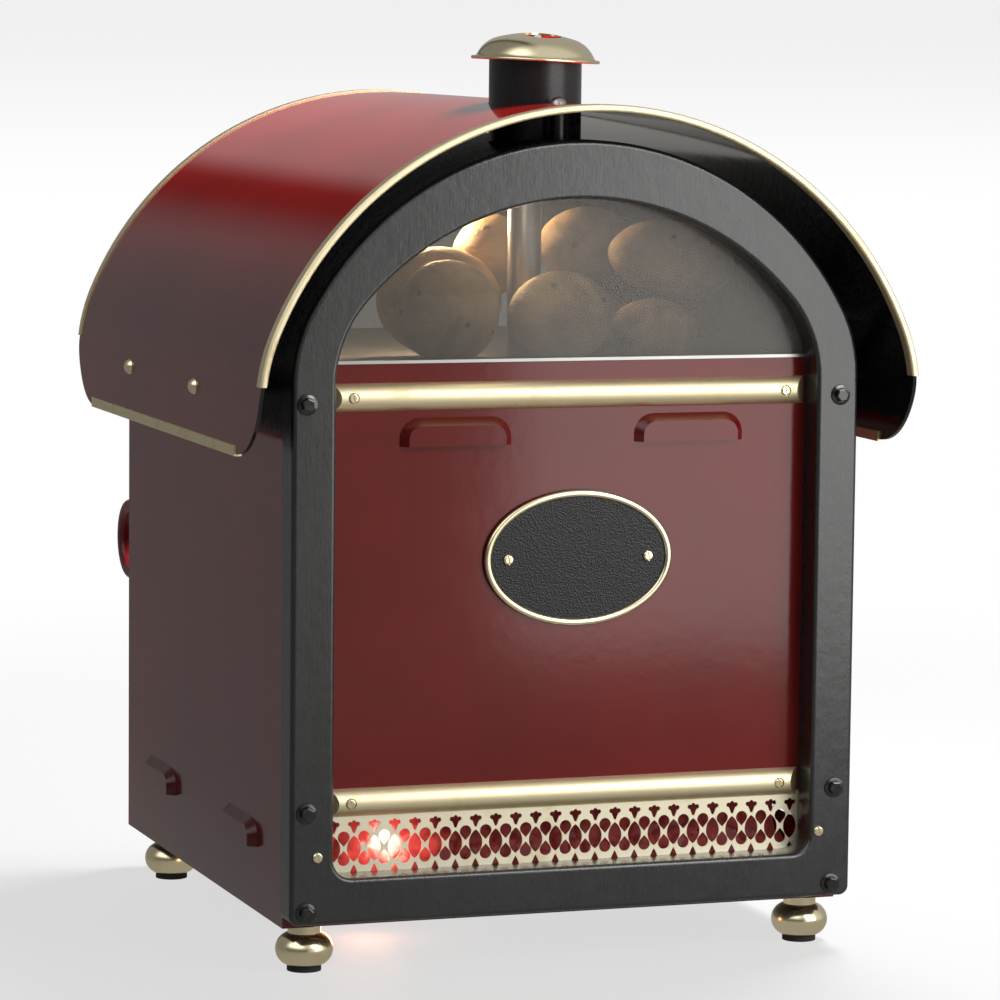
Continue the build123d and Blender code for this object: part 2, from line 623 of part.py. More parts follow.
with BuildPart() as canopy_spacers:
    for seats, grip, ease in ((side_seats, side_grip, shoulder_ease), (crown_seats, crown_grip, spacer_ease)):
        for seat in seats:
            with BuildSketch(seat.offset(-canopy_sheet_t - ease)):
                Circle(spacer_r)
                Circle(bolt_clear_r, mode=Mode.SUBTRACT)
            extrude(amount=-(grip - canopy_sheet_t - sheet - ease - spacer_ease))
save(canopy_spacers, "canopy_spacers")



def dome_bolt(seat, grip):
    """Dome-headed bolt through the grip, with its nut on the far side."""
    with BuildPart() as bolt:
        with Locations(Location(seat.offset(dome_h - dome_ball_r))):
            Sphere(dome_ball_r)
        split(bisect_by=seat, keep=Keep.TOP)
        with BuildSketch(seat):
            Circle(bolt_r)
        extrude(amount=-(grip + nut_h + 2))
        with BuildSketch(seat.offset(-grip - spacer_ease)):
            RegularPolygon(nut_across / 2, 6, major_radius=False)
        extrude(amount=-nut_h)
    return bolt.part


with BuildPart() as canopy_bolts:
    for seat in side_seats:
        add(dome_bolt(seat, side_grip))
    for seat in crown_seats:
        add(dome_bolt(seat, crown_grip))
save(canopy_bolts, "canopy_bolts")

# ============================ Chimney and flue ============================================
with BuildPart() as chimney_tube:
    with BuildSketch(flat(roof_top - 30)):
        with Locations((0, chimney_depth)):
            Circle(chimney_r)
            Circle(chimney_r - chimney_wall, mode=Mode.SUBTRACT)
    extrude(amount=chimney_top - roof_top + 30)
    with BuildSketch(facing(0)):
        add(inset_arch(*roof_size, roof_top - 60, -0.2))
    extrude(amount=-2 * chimney_depth, mode=Mode.SUBTRACT)
save(chimney_tube, "chimney_tube")

liner_outer_top = liner_top + liner_t
flue_flange_r, flue_flange_t = flue_r + 7, 1.5
with BuildPart() as flue_tube:
    with BuildSketch(flat(liner_outer_top)):
        with Locations((0, flue_depth)):
            Circle(flue_flange_r)
    extrude(amount=flue_flange_t)
    with BuildSketch(flat(liner_top)):
        with Locations((0, flue_depth)):
            Circle(flue_r)
    extrude(amount=flue_top - liner_top)
    with BuildSketch(flat(liner_top)):
        with Locations((0, flue_depth)):
            Circle(flue_r - flue_wall)
    extrude(amount=flue_top - liner_top, mode=Mode.SUBTRACT)
save(flue_tube, "flue_tube")


def dome(inset):
    """Half section of the spun cap, its rim's lowest edge near the local x axis."""
    crown_turn, side_turn = -cap_crown_turn, -cap_side_turn
    with BuildSketch() as half:
        with BuildLine():
            crown = JernArc((0, cap_rise - inset), (1, 0), cap_crown_r - inset, crown_turn)
            side = JernArc(crown @ 1, crown % 1, cap_side_r - inset, side_turn)
            flare = JernArc(side @ 1, side % 1, cap_flare_r + inset, cap_flare_turn)
            rim = flare @ 1
            Polyline(rim, (rim.X, rim.Y - 3), (0, rim.Y - 3), (0, cap_rise - inset))
        make_face()
    return half.sketch


steepest = cap_crown_turn + cap_side_turn
crown_drop = cap_crown_r * (1 - cos(radians(cap_crown_turn)))
side_drop = cap_side_r * (cos(radians(cap_crown_turn)) - cos(radians(steepest)))
flare_drop = cap_flare_r * (cos(radians(steepest - cap_flare_turn)) - cos(radians(steepest)))
cap_rise = crown_drop + side_drop + flare_drop
cap_seat = Location((0, chimney_y, up(cap_z)), (0, cap_lean, 0))

with BuildPart() as upright_cap:
    with BuildSketch(Plane.XZ):
        add(dome(0))
    revolve(axis=Axis.Z)
    with BuildSketch(Plane.XZ):
        add(dome(cap_wall))
    revolve(axis=Axis.Z, mode=Mode.SUBTRACT)
    with BuildSketch(Plane.XY.offset(-4)):
        Circle(cap_r + 5)
    extrude(amount=3.0, mode=Mode.SUBTRACT)
    with Locations((0, 0, -0.5)):
        Torus(cap_r - cap_bead_r, cap_bead_r)
    with BuildSketch(Plane.XY):
        with Locations((0, -cap_hole_forward)):
            Circle(cap_hole_r)
    extrude(amount=cap_rise + 1, mode=Mode.SUBTRACT)

with BuildPart() as chimney_cap:
    add(upright_cap.part.moved(cap_seat))
save(chimney_cap, "chimney_cap")

bridge_w, bridge_t, bridge_z = 12.0, 2.0, chimney_top - 16
bridge_half = chimney_r - chimney_wall - 0.7
stud_top = cap_z + cap_rise - cap_wall - 0.25
cap_nut_h = 3.0
with BuildPart() as cap_bridge:
    with BuildSketch(flat(bridge_z)):
        with Locations((0, chimney_depth)):
            Rectangle(2 * bridge_half, bridge_w)
    extrude(amount=bridge_t)
    for side in (-1, 1):
        with BuildSketch(flat(bridge_z)):
            with Locations((side * (bridge_half - bridge_t / 2), chimney_depth)):
                Rectangle(bridge_t, bridge_w)
        extrude(amount=-10)
    with BuildSketch(flat(bridge_z)):
        with Locations((0, chimney_depth)):
            Circle(bolt_r)
    extrude(amount=stud_top - bridge_z)
    with BuildSketch(flat(stud_top - 0.3 - cap_nut_h)):
        with Locations((0, chimney_depth)):
            RegularPolygon(nut_across / 2, 6, major_radius=False)
    extrude(amount=cap_nut_h)
save(cap_bridge, "cap_bridge")

# ============================ Feet ========================================================
with BuildPart() as feet:
    for x, depth in foot_spots:
        with BuildSketch(Plane(origin=(x, face_y + depth, 0), x_dir=(1, 0, 0), z_dir=(0, -1, 0))):
            with BuildLine():
                Polyline((0, foot_height + stud_len), (stud_r, foot_height + stud_len), (stud_r, foot_height),
                         (foot_neck_r, foot_height), (foot_neck_r, foot_height - 7))
                ThreePointArc((foot_neck_r, foot_height - 7), (foot_ball_r, 18.5), (foot_pad_r, foot_pad_h))
                Polyline((foot_pad_r, foot_pad_h), (0, foot_pad_h), (0, foot_height + stud_len))
            make_face()
        revolve(axis=Axis((x, face_y + depth, 0), (0, 0, 1)))
save(feet, "feet")

with BuildPart() as foot_pads:
    for x, depth in foot_spots:
        with BuildSketch(Plane(origin=(x, face_y + depth, 0))):
            Circle(foot_pad_r - 1)
        extrude(amount=foot_pad_h)
save(foot_pads, "foot_pads")

# ============================ Oven chamber ================================================
liner_back = body_depth - sheet
liner_mid = (liner_bottom + liner_top) / 2
motor_r, motor_back = 38.0, 68.0
shaft_r = 4.0
with BuildPart() as oven_liner:
    with BuildSketch(facing(liner_front)):
        with Locations((0, up(liner_mid))):
            Rectangle(2 * (liner_half + liner_t), liner_top - liner_bottom + 2 * liner_t)
    extrude(amount=-(liner_back - liner_front))
    with BuildSketch(facing(liner_front + liner_t)):
        with Locations((0, up(liner_mid))):
            Rectangle(2 * liner_half, liner_top - liner_bottom)
    extrude(amount=-(liner_back - liner_front), mode=Mode.SUBTRACT)
    with BuildSketch(facing(liner_front)):
        with Locations((0, up(fan_z))):
            Circle(shaft_r + 1)
    extrude(amount=-liner_t, mode=Mode.SUBTRACT)
    with BuildSketch(flat(liner_top)):
        with Locations((0, flue_depth)):
            Circle(flue_hole_r)
    extrude(amount=liner_t, mode=Mode.SUBTRACT)
save(oven_liner, "oven_liner")

wool_front, wool_bottom, wool_half = 33.0, 88.5, body_half - sheet - 0.5
with BuildPart() as oven_insulation:
    with BuildSketch(facing(wool_front)):
        with Locations((0, up((wool_bottom + floor_z - floor_t) / 2))):
            Rectangle(2 * wool_half, floor_z - floor_t - wool_bottom)
    extrude(amount=-(liner_back - wool_front))
    with BuildSketch(facing(liner_front)):
        with Locations((0, up(liner_mid))):
            Rectangle(2 * (liner_half + liner_t), liner_top - liner_bottom + 2 * liner_t)
    extrude(amount=-(liner_back - liner_front), mode=Mode.SUBTRACT)
    with BuildSketch(facing(wool_front)):
        with Locations((0, up(fan_z))):
            Circle(motor_r + 1)
    extrude(amount=-(liner_front - wool_front), mode=Mode.SUBTRACT)
    with BuildSketch(flat(liner_outer_top)):
        with Locations((0, flue_depth)):
            Circle(flue_flange_r + 1)
    extrude(amount=floor_z - liner_outer_top, mode=Mode.SUBTRACT)
    with BuildSketch(facing(wool_front)):
        with Locations(*cast_bolt_spots):
            Rectangle(24, 24)
    extrude(amount=-12, mode=Mode.SUBTRACT)
    for side in (-1, 1):
        with BuildSketch(beside(side * wool_half)):
            with Locations(*side_bolt_spots):
                Rectangle(20, 20)
        extrude(amount=-side * 10, mode=Mode.SUBTRACT)
save(oven_insulation, "oven_insulation")

floor_half = body_half - sheet - 0.5
with BuildPart() as display_floor:
    with BuildSketch(flat(floor_z - floor_t)):
        with Locations((0, (cast_depth + 5 + liner_back) / 2)):
            Rectangle(2 * floor_half, liner_back - cast_depth - 5)
        with Locations((0, flue_depth)):
            Circle(flue_hole_r, mode=Mode.SUBTRACT)
    extrude(amount=floor_t)
    with BuildSketch(facing(cast_depth + 5)):
        with Locations((0, up((floor_z + panel_top) / 2))):
            Rectangle(2 * (panel_half - 2), panel_top - floor_z)
    extrude(amount=-sheet)
save(display_floor, "display_floor")

# Runners: one folded plate each side, with a ledge under each shelf.
runner_t, ledge_w, runner_foot = 1.5, 14.0, 150.0
with BuildPart() as shelf_runners:
    for side in (-1, 1):
        with BuildSketch(beside(side * (liner_half - runner_t))):
            with Locations(((shelf_front + shelf_back) / 2, up((runner_foot + shelf_heights[-1]) / 2))):
                Rectangle(shelf_back - shelf_front, shelf_heights[-1] - runner_foot)
        extrude(amount=side * runner_t)
        for height in shelf_heights:
            with BuildSketch(flat(height - runner_t)):
                with Locations((side * (liner_half - runner_t - ledge_w / 2), (shelf_front + shelf_back) / 2)):
                    Rectangle(ledge_w + 0.01, shelf_back - shelf_front)
            extrude(amount=runner_t)
save(shelf_runners, "shelf_runners")

shelf_span = shelf_back - shelf_front - 12
for number, height in enumerate(shelf_heights, start=1):
    with BuildPart() as shelf:
        wire_z = height + shelf_wire_r
        for side in (-1, 1):
            with BuildSketch(facing(shelf_front + 6, side * shelf_half, wire_z)):
                Circle(shelf_wire_r)
            extrude(amount=-shelf_span)
        for depth in (shelf_front + 10, shelf_back - 10):
            with BuildSketch(Plane(origin=(-shelf_half, face_y + depth, up(wire_z - 0.3)), x_dir=(0, 1, 0),
                                   z_dir=(1, 0, 0))):
                Circle(shelf_cross_r)
            extrude(amount=2 * shelf_half)
        for i in range(shelf_bars):
            x = (i + 1) * 2 * shelf_half / (shelf_bars + 1) - shelf_half
            with BuildSketch(facing(shelf_front + 7, x, wire_z + 1.9)):
                Circle(shelf_bar_r)
            extrude(amount=2 - shelf_span)
    save(shelf, f"oven_shelf_{number}")

# ============================ Fan, baffle and element =====================================
with BuildPart() as fan_motor:
    with BuildSketch(facing(wool_front + 2)):
        with Locations((0, up(fan_z))):
            Circle(motor_r)
    extrude(amount=-(motor_back - wool_front - 2))
    fillet(fan_motor.edges().sort_by(Axis.Y)[0], 5)
    for turn in (0, 120, 240):
        arm_x, arm_z = 30 * sin(radians(turn)), fan_z + 30 * cos(radians(turn))
        with BuildSketch(facing(motor_back, arm_x, arm_z)):
            Circle(4)
        extrude(amount=-(liner_front - motor_back))
    with BuildSketch(facing(motor_back)):
        with Locations((0, up(fan_z))):
            Circle(shaft_r + 1.5)
    extrude(amount=14, mode=Mode.SUBTRACT)
save(fan_motor, "fan_motor")

fan_front, fan_blade_depth = 80.0, 18.0
with BuildPart() as fan_wheel:
    with BuildSketch(facing(fan_front)):
        with Locations((0, up(fan_z))):
            Circle(fan_r)
    extrude(amount=-1.5)
    with BuildSketch(facing(fan_front)):
        with Locations((0, up(fan_z))):
            Circle(10)
    extrude(amount=-fan_blade_depth)
    with BuildSketch(facing(motor_back - 12)):
        with Locations((0, up(fan_z))):
            Circle(shaft_r)
    extrude(amount=-(fan_front - motor_back + 14))
    with BuildSketch(facing(fan_front)):
        with Locations((0, up(fan_z))):
            with PolarLocations(fan_r - 20, fan_blades):
                Rectangle(34, 1.6, rotation=24)
    extrude(amount=-fan_blade_depth)
save(fan_wheel, "fan_wheel")

element_r, element_tube_r, element_depth = 92.0, 3.6, 90.0
with BuildPart() as heating_element:
    with BuildSketch(Plane(origin=(element_r, face_y + element_depth, up(fan_z)), x_dir=(1, 0, 0),
                           z_dir=(0, 0, 1))):
        Circle(element_tube_r)
    revolve(axis=Axis((0, face_y + element_depth, up(fan_z)), (0, 1, 0)), revolution_arc=330)
    for angle in (0, 330):
        spot_x, spot_z = element_r * cos(radians(angle)), fan_z - element_r * sin(radians(angle))
        with BuildSketch(facing(element_depth, spot_x, spot_z)):
            Circle(element_tube_r)
        extrude(amount=element_depth - liner_front - liner_t)
save(heating_element, "heating_element")

baffle_half, baffle_bottom, baffle_top, baffle_t = 168.0, 122.0, 372.0, 1.5
with BuildPart() as fan_baffle:
    with BuildSketch(facing(liner_front + liner_t)):
        with Locations((0, up((baffle_bottom + baffle_top) / 2))):
            Rectangle(2 * baffle_half, baffle_top - baffle_bottom)
    extrude(amount=-(baffle_depth - liner_front - liner_t))
    with BuildSketch(facing(liner_front + liner_t)):
        with Locations((0, up((baffle_bottom + baffle_top) / 2))):
            Rectangle(2 * (baffle_half - baffle_t), baffle_top - baffle_bottom - 2 * baffle_t)
    extrude(amount=-(baffle_depth - liner_front - liner_t - baffle_t), mode=Mode.SUBTRACT)
    with BuildSketch(facing(baffle_depth)):
        with Locations((0, up(fan_z))):
            Circle(5)
            for ring_r, ring_n in ((16, 8), (29, 14), (42, 20)):
                with PolarLocations(ring_r, ring_n):
                    Circle(4.2)
    extrude(amount=baffle_t, mode=Mode.SUBTRACT)
    with BuildSketch(beside(-baffle_half - 1)):
        with Locations(*[((liner_front + baffle_depth) / 2, up(z)) for z in range(150, 360, 32)]):
            Rectangle(14, 22)
    extrude(amount=2 * baffle_half + 2, mode=Mode.SUBTRACT)
save(fan_baffle, "fan_baffle")

# ============================ Rear oven door ==============================================
seal_front = body_depth + seal_gap
skin_front = seal_front + seal_t
door_face = skin_front + skin_depth
skin_t = 1.5
door_mid_x, door_mid_z = (door_left + door_right) / 2, (door_bottom + door_top) / 2
door_w, door_h = door_right - door_left, door_top - door_bottom
oven_pin_x, oven_pin_depth = door_right + 6.0, skin_front + 8.0
oven_hinge_zs = (door_bottom + 30, door_top - 45)


def knuckle(pin_x, pin_depth, foot_z, edge_x):
    """Door's half of a hinge: an eye round the pin, joined to the door's edge."""
    with BuildPart() as eye:
        with BuildSketch(flat(foot_z)):
            with Locations((pin_x, pin_depth)):
                Circle(knuckle_r)
            with Locations(((pin_x + edge_x) / 2, pin_depth)):
                Rectangle(pin_x - edge_x, knuckle_r)
            with Locations((pin_x, pin_depth)):
                Circle(pin_r + pin_play, mode=Mode.SUBTRACT)
        extrude(amount=knuckle_h)
    return eye.part


def bracket(pin_x, pin_depth, foot_z):
    """Fixed half of a hinge: a plate on the rear frame, an arm below the eye, and its pin."""
    with BuildPart() as half:
        with BuildSketch(flat(foot_z - knuckle_h)):
            with Locations((pin_x + 1, body_depth + 1)):
                Rectangle(12, 2)
            with Locations((pin_x, (body_depth + pin_depth) / 2)):
                Rectangle(6, pin_depth - body_depth)
            with Locations((pin_x, pin_depth)):
                Circle(knuckle_r)
        extrude(amount=knuckle_h - 0.4)
        with BuildSketch(flat(foot_z - knuckle_h)):
            with Locations((pin_x, pin_depth)):
                Circle(pin_r)
        extrude(amount=2 * knuckle_h + 2)
        with BuildSketch(flat(foot_z + knuckle_h + 0.6)):
            with Locations((pin_x, pin_depth)):
                Circle(pin_r + 1.5)
        extrude(amount=2)
    return half.part


with BuildPart() as oven_door:
    with BuildSketch(facing(skin_front)):
        with Locations((door_mid_x, up(door_mid_z))):
            RectangleRounded(door_w, door_h, 4)
    extrude(amount=-skin_depth)
    fillet(oven_door.faces().sort_by(Axis.Y)[-1].edges(), 3)
    with BuildSketch(facing(skin_front)):
        with Locations((door_mid_x, up(door_mid_z))):
            Rectangle(door_w - 2 * skin_t, door_h - 2 * skin_t)
    extrude(amount=-(skin_depth - skin_t), mode=Mode.SUBTRACT)
    for foot_z in oven_hinge_zs:
        add(knuckle(oven_pin_x, oven_pin_depth, foot_z, door_right - skin_t / 2))
save(oven_door, "oven_door")

plug_mid = (plug_bottom + plug_top) / 2
with BuildPart() as oven_door_pan:
    with BuildSketch(facing(skin_front)):
        with Locations((door_mid_x, up(door_mid_z))):
            Rectangle(door_w - 2 * skin_t, door_h - 2 * skin_t)
    extrude(amount=-skin_t)
    with BuildSketch(facing(plug_front)):
        with Locations((0, up(plug_mid))):
            RectangleRounded(2 * plug_half, plug_top - plug_bottom, 10)
    extrude(amount=-(skin_front - plug_front))
    fillet(oven_door_pan.faces().sort_by(Axis.Y)[0].edges(), 4)
    with BuildSketch(facing(plug_front + skin_t)):
        with Locations((0, up(plug_mid))):
            RectangleRounded(2 * (plug_half - skin_t), plug_top - plug_bottom - 2 * skin_t, 8.5)
    extrude(amount=-(skin_front - plug_front), mode=Mode.SUBTRACT)
save(oven_door_pan, "oven_door_pan")

seal_inner, seal_w = 3.0, 7.0
seal_size = (2 * (liner_half + seal_inner), liner_top - liner_bottom + 2 * seal_inner)
with BuildPart() as oven_door_seal:
    with BuildSketch(facing(seal_front)):
        with Locations((0, up(liner_mid))):
            RectangleRounded(seal_size[0] + 2 * seal_w, seal_size[1] + 2 * seal_w, 10)
            RectangleRounded(*seal_size, 4, mode=Mode.SUBTRACT)
    extrude(amount=-seal_t)
    fillet(oven_door_seal.faces().sort_by(Axis.Y)[0].edges(), 1.2)
save(oven_door_seal, "oven_door_seal")

grip_left = door_left
grip_straight = handle_back - handle_out
with BuildPart() as oven_door_handle:
    with BuildSketch(beside(grip_left)):
        with Locations((grip_straight, up(handle_z))):
            Circle(handle_out)
        with Locations((grip_straight - handle_out / 2, up(handle_z))):
            Rectangle(handle_out, 2 * handle_out + 2, mode=Mode.SUBTRACT)
        with Locations(((door_face + grip_straight) / 2, up(handle_z))):
            Rectangle(grip_straight - door_face, 2 * handle_out)
        with Locations(((door_face + grip_straight) / 2, up(handle_z))):
            Rectangle(grip_straight - door_face, 2 * (handle_out - handle_grip), mode=Mode.SUBTRACT)
        with Locations((grip_straight, up(handle_z))):
            Circle(handle_out - handle_grip, mode=Mode.SUBTRACT)
    extrude(amount=handle_w)
    grip_edges = oven_door_handle.faces().filter_by(Axis.X).edges()
    fillet(grip_edges.filter_by(lambda edge: edge.center().Y > face_y + door_face + 1), 5)
save(oven_door_handle, "oven_door_handle")

with BuildPart() as oven_hinges:
    for foot_z in oven_hinge_zs:
        add(bracket(oven_pin_x, oven_pin_depth, foot_z))
save(oven_hinges, "oven_hinges")

# ============================ Rear display door ===========================================
hatch_size = (hatch_half, hatch_top, hatch_top_r, hatch_shoulder_r)
hatch_front = body_depth + seal_gap
hatch_face = hatch_front + hatch_t
hatch_pin_x, hatch_pin_depth = hatch_half + 6.0, hatch_front + 6.0
hatch_hinge_zs = (hatch_bottom + 14, hatch_bottom + 40)
pane_inset, pane_step = 18.0, 6.0

with BuildPart() as display_door:
    with BuildSketch(facing(hatch_front)):
        add(arch(*hatch_size, hatch_bottom))
    extrude(amount=-hatch_t)
    with BuildSketch(facing(hatch_front)):
        add(inset_arch(*hatch_size, hatch_bottom + hatch_rim, hatch_rim))
    extrude(amount=-hatch_t, mode=Mode.SUBTRACT)
    with BuildSketch(facing(hatch_front)):
        add(inset_arch(*hatch_size, hatch_bottom + pane_inset, pane_inset))
    extrude(amount=-(pane_step + glass), mode=Mode.SUBTRACT)
    fillet(display_door.faces().sort_by(Axis.Y)[-1].outer_wire().edges(), 2)
    for foot_z in hatch_hinge_zs:
        add(knuckle(hatch_pin_x, hatch_pin_depth, foot_z, hatch_half - 4))
save(display_door, "display_door")

pane_ease = 0.3
with BuildPart() as display_door_glass:
    with BuildSketch(facing(hatch_front + pane_step)):
        add(inset_arch(*hatch_size, hatch_bottom + pane_inset + pane_ease, pane_inset + pane_ease))
    extrude(amount=-glass)
save(display_door_glass, "display_door_glass")

pull_r, pull_len = 14.0, 26.0
with BuildPart() as display_door_knob:
    with BuildSketch(rearward(hatch_face, -(hatch_half - hatch_rim / 2), hatch_bottom + 28)):
        Circle(6)
    extrude(amount=pull_len * 0.5)
    with BuildSketch(rearward(hatch_face + pull_len * 0.4, -(hatch_half - hatch_rim / 2), hatch_bottom + 28)):
        Circle(pull_r)
    extrude(amount=pull_len * 0.6)
    rims = display_door_knob.edges().filter_by(GeomType.CIRCLE)
    fillet(rims.filter_by(lambda rim: abs(rim.radius - pull_r) < 0.1), 5)
save(display_door_knob, "display_door_knob")

with BuildPart() as display_hinges:
    for foot_z in hatch_hinge_zs:
        add(bracket(hatch_pin_x, hatch_pin_depth, foot_z))
save(display_hinges, "display_hinges")

# ============================ Controls ====================================================
panel_back = body_depth
control_face = panel_back + sheet
knob_xs = (thermostat_x, timer_x)
lens_r, gland_r = 5.0, 6.5
with BuildPart() as control_panel:
    with BuildSketch(facing(panel_back)):
        with Locations((0, up((control_bottom + control_top) / 2))):
            RectangleRounded(2 * control_half, control_top - control_bottom, 4)
        with Locations(*[(x, up(control_z)) for x in knob_xs]):
            Circle(spindle_r + 0.3, mode=Mode.SUBTRACT)
        with Locations(*[(x, up(control_z)) for x in rocker_xs]):
            Rectangle(rocker_w + 6, rocker_h + 6, mode=Mode.SUBTRACT)
        with Locations(*[(x, up(control_z)) for x in lens_xs]):
            Circle(lens_r - 1, mode=Mode.SUBTRACT)
        with Locations((gland_x, up(control_z))):
            Circle(gland_r, mode=Mode.SUBTRACT)
    extrude(amount=-sheet)
save(control_panel, "control_panel")

knob_gap = 0.3
for name, x in (("thermostat_knob", thermostat_x), ("timer_knob", timer_x)):
    with BuildPart() as knob:
        with BuildSketch(rearward(control_face + knob_gap, x, control_z)):
            Circle(knob_r + 3)
        extrude(amount=3)
        with BuildSketch(rearward(control_face + knob_gap + 3, x, control_z)):
            Circle(knob_r - 3)
            Rectangle(8, 2 * knob_r - 2)
        extrude(amount=knob_len - 3)
        fillet(knob.faces().sort_by(Axis.Y)[-1].edges(), 1)
        with BuildSketch(rearward(control_face + knob_gap, x, control_z)):
            Circle(spindle_r)
        extrude(amount=-20)
    save(knob, name)

case_depth = 30.0
with BuildPart() as control_bodies:
    for x in knob_xs:
        with BuildSketch(facing(panel_back, x, control_z)):
            RectangleRounded(42, 42, 4)
            Circle(spindle_r + 0.3, mode=Mode.SUBTRACT)
        extrude(amount=case_depth)
save(control_bodies, "control_bodies")

rocker_ease = 0.6
with BuildPart() as switch_cases:
    for x in rocker_xs:
        with BuildSketch(facing(control_face, x, control_z)):
            Rectangle(rocker_w + 6, rocker_h + 6)
        extrude(amount=case_depth)
        with BuildSketch(rearward(control_face, x, control_z)):
            RectangleRounded(rocker_w + 9, rocker_h + 9, 2)
        extrude(amount=1.5)
        with BuildSketch(rearward(control_face + 1.5, x, control_z)):
            Rectangle(rocker_w + 2 * rocker_ease, rocker_h + 2 * rocker_ease)
        extrude(amount=-13.5, mode=Mode.SUBTRACT)
save(switch_cases, "switch_cases")

# A rocker tips about a level pin and stands with one end in and one end out.
rocker_axis, rocker_pin_r = control_face - 2.0, 1.5
for name, x in (("oven_switch", rocker_xs[0]), ("lamp_switch", rocker_xs[1])):
    edge = Plane(origin=(x - rocker_w / 2, face_y + rocker_axis, up(control_z)), x_dir=(0, 1, 0), z_dir=(1, 0, 0))
    with BuildPart() as rocker:
        with BuildSketch(edge):
            with BuildLine():
                Polyline((3.6, -rocker_h / 2 + 0.8), (7.6, rocker_h / 2 - 1.6), (-4.4, rocker_h / 2 - 0.4),
                         (-4.4, -rocker_h / 2 + 1.2), close=True)
            make_face()
        extrude(amount=rocker_w)
        fillet(rocker.edges().filter_by(Axis.X).sort_by(Axis.Y)[-2:], 0.8)
        with BuildSketch(edge.offset(0.1 - rocker_ease)):
            Circle(rocker_pin_r)
        extrude(amount=rocker_w + 2 * rocker_ease - 0.2)
    save(rocker, name)

with BuildPart() as indicator_lenses:
    for x in lens_xs:
        with BuildSketch(rearward(control_face, x, control_z)):
            Circle(lens_r + 1.5)
        extrude(amount=1.5)
        with BuildSketch(rearward(control_face, x, control_z)):
            Circle(lens_r)
        extrude(amount=4.5)
        with BuildSketch(rearward(control_face, x, control_z)):
            Circle(lens_r - 1.3)
        extrude(amount=-16)
    fillet(indicator_lenses.faces().group_by(Axis.Y)[-1].edges(), 1.5)
save(indicator_lenses, "indicator_lenses")

gland_bore = 4.5
with BuildPart() as inlet_gland:
    with BuildSketch(rearward(control_face, gland_x, control_z)):
        RegularPolygon(11, 6, major_radius=False)
    extrude(amount=5)
    with BuildSketch(rearward(control_face, gland_x, control_z)):
        Circle(9)
    extrude(amount=16)
    fillet(inlet_gland.faces().sort_by(Axis.Y)[-1].edges(), 3)
    with BuildSketch(rearward(control_face, gland_x, control_z)):
        Circle(gland_r - 0.3)
    extrude(amount=-14)
    with BuildSketch(rearward(control_face - 14, gland_x, control_z)):
        Circle(gland_bore)
    extrude(amount=31, mode=Mode.SUBTRACT)
save(inlet_gland, "inlet_gland")

# ============================ Potatoes on show ============================================
# Each is (x, depth, half length, half width, half height, turn about Z, tilt). One after
# another they are lowered on to the display floor and on to those already there.
potatoes = [
    (-84, 90, 47, 39, 44, 20, 0),
    (11, 84, 45, 38, 39, -8, 0),
    (96, 92, 40, 34, 27, 6, 0),
    (-64, 174, 54, 38, 47, -16, 0),
    (64, 166, 48, 35, 30, 28, 0),
    (-2, 222, 44, 34, 36, 64, 0),
    (118, 108, 56, 36, 34, -10, 8),
    (66, 172, 46, 35, 33, 12, -6),
]
touch = 0.3
angles = np.linspace(0, 2 * np.pi, 97)[:-1]
rises = np.linspace(-np.pi / 2, np.pi / 2, 61)
unit_points = np.array([(np.cos(r) * np.cos(a), np.cos(r) * np.sin(a), np.sin(r)) for r in rises for a in angles])


def axes(turn, tilt):
    """Rotation of a potato's own axes: a tilt about its width, then a turn about the vertical."""
    t, s = radians(turn), radians(tilt)
    about_z = np.array([[cos(t), -sin(t), 0], [sin(t), cos(t), 0], [0, 0, 1]])
    about_y = np.array([[cos(s), 0, sin(s)], [0, 1, 0], [-sin(s), 0, cos(s)]])
    return about_z @ about_y


def surface(potato, z):
    """Points on a potato's skin, with its centre at height z."""
    x, depth, a, b, c, turn, tilt = potato
    return (unit_points * (a, b, c)) @ axes(turn, tilt).T + (x, depth, z)


def clear_of(potato, z, other, other_z):
    """Whether two potatoes stay apart."""
    def outside(points, body, body_z):
        x, depth, a, b, c, turn, tilt = body
        local = (points - (x, depth, body_z)) @ axes(turn, tilt)
        return np.all(((local / (a + touch, b + touch, c + touch)) ** 2).sum(axis=1) > 1)
    return outside(surface(potato, z), other, other_z) and outside(surface(other, other_z), potato, z)


def lowered(potato, placed):
    """Lowest centre height at which a potato rests on the floor or on another."""
    low = floor_z + 0.1 - surface(potato, 0)[:, 2].min()
    if all(clear_of(potato, low, *other) for other in placed):
        return low
    high = low + 200
    while high - low > 0.05:
        middle = (low + high) / 2
        if all(clear_of(potato, middle, *other) for other in placed):
            high = middle
        else:
            low = middle
    return high


placed = []
with BuildPart() as display_potatoes:
    for potato in potatoes:
        height = lowered(potato, placed)
        placed.append((potato, height))
        x, depth, a, b, c, turn, tilt = potato
        lump = scale(Sphere(1, mode=Mode.PRIVATE), by=(a, b, c), mode=Mode.PRIVATE)
        add(Location((x, face_y + depth, up(height))) * Rotation(0, 0, turn) * Rotation(0, tilt, 0) * lump)
save(display_potatoes, "display_potatoes")
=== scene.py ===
"""Baked potato oven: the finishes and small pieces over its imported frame, and a studio to see it in."""
import math
import random

import bmesh
import bpy
from bpy.props import FloatProperty, FloatVectorProperty, IntProperty, PointerProperty
from mathutils import Matrix, Vector, noise


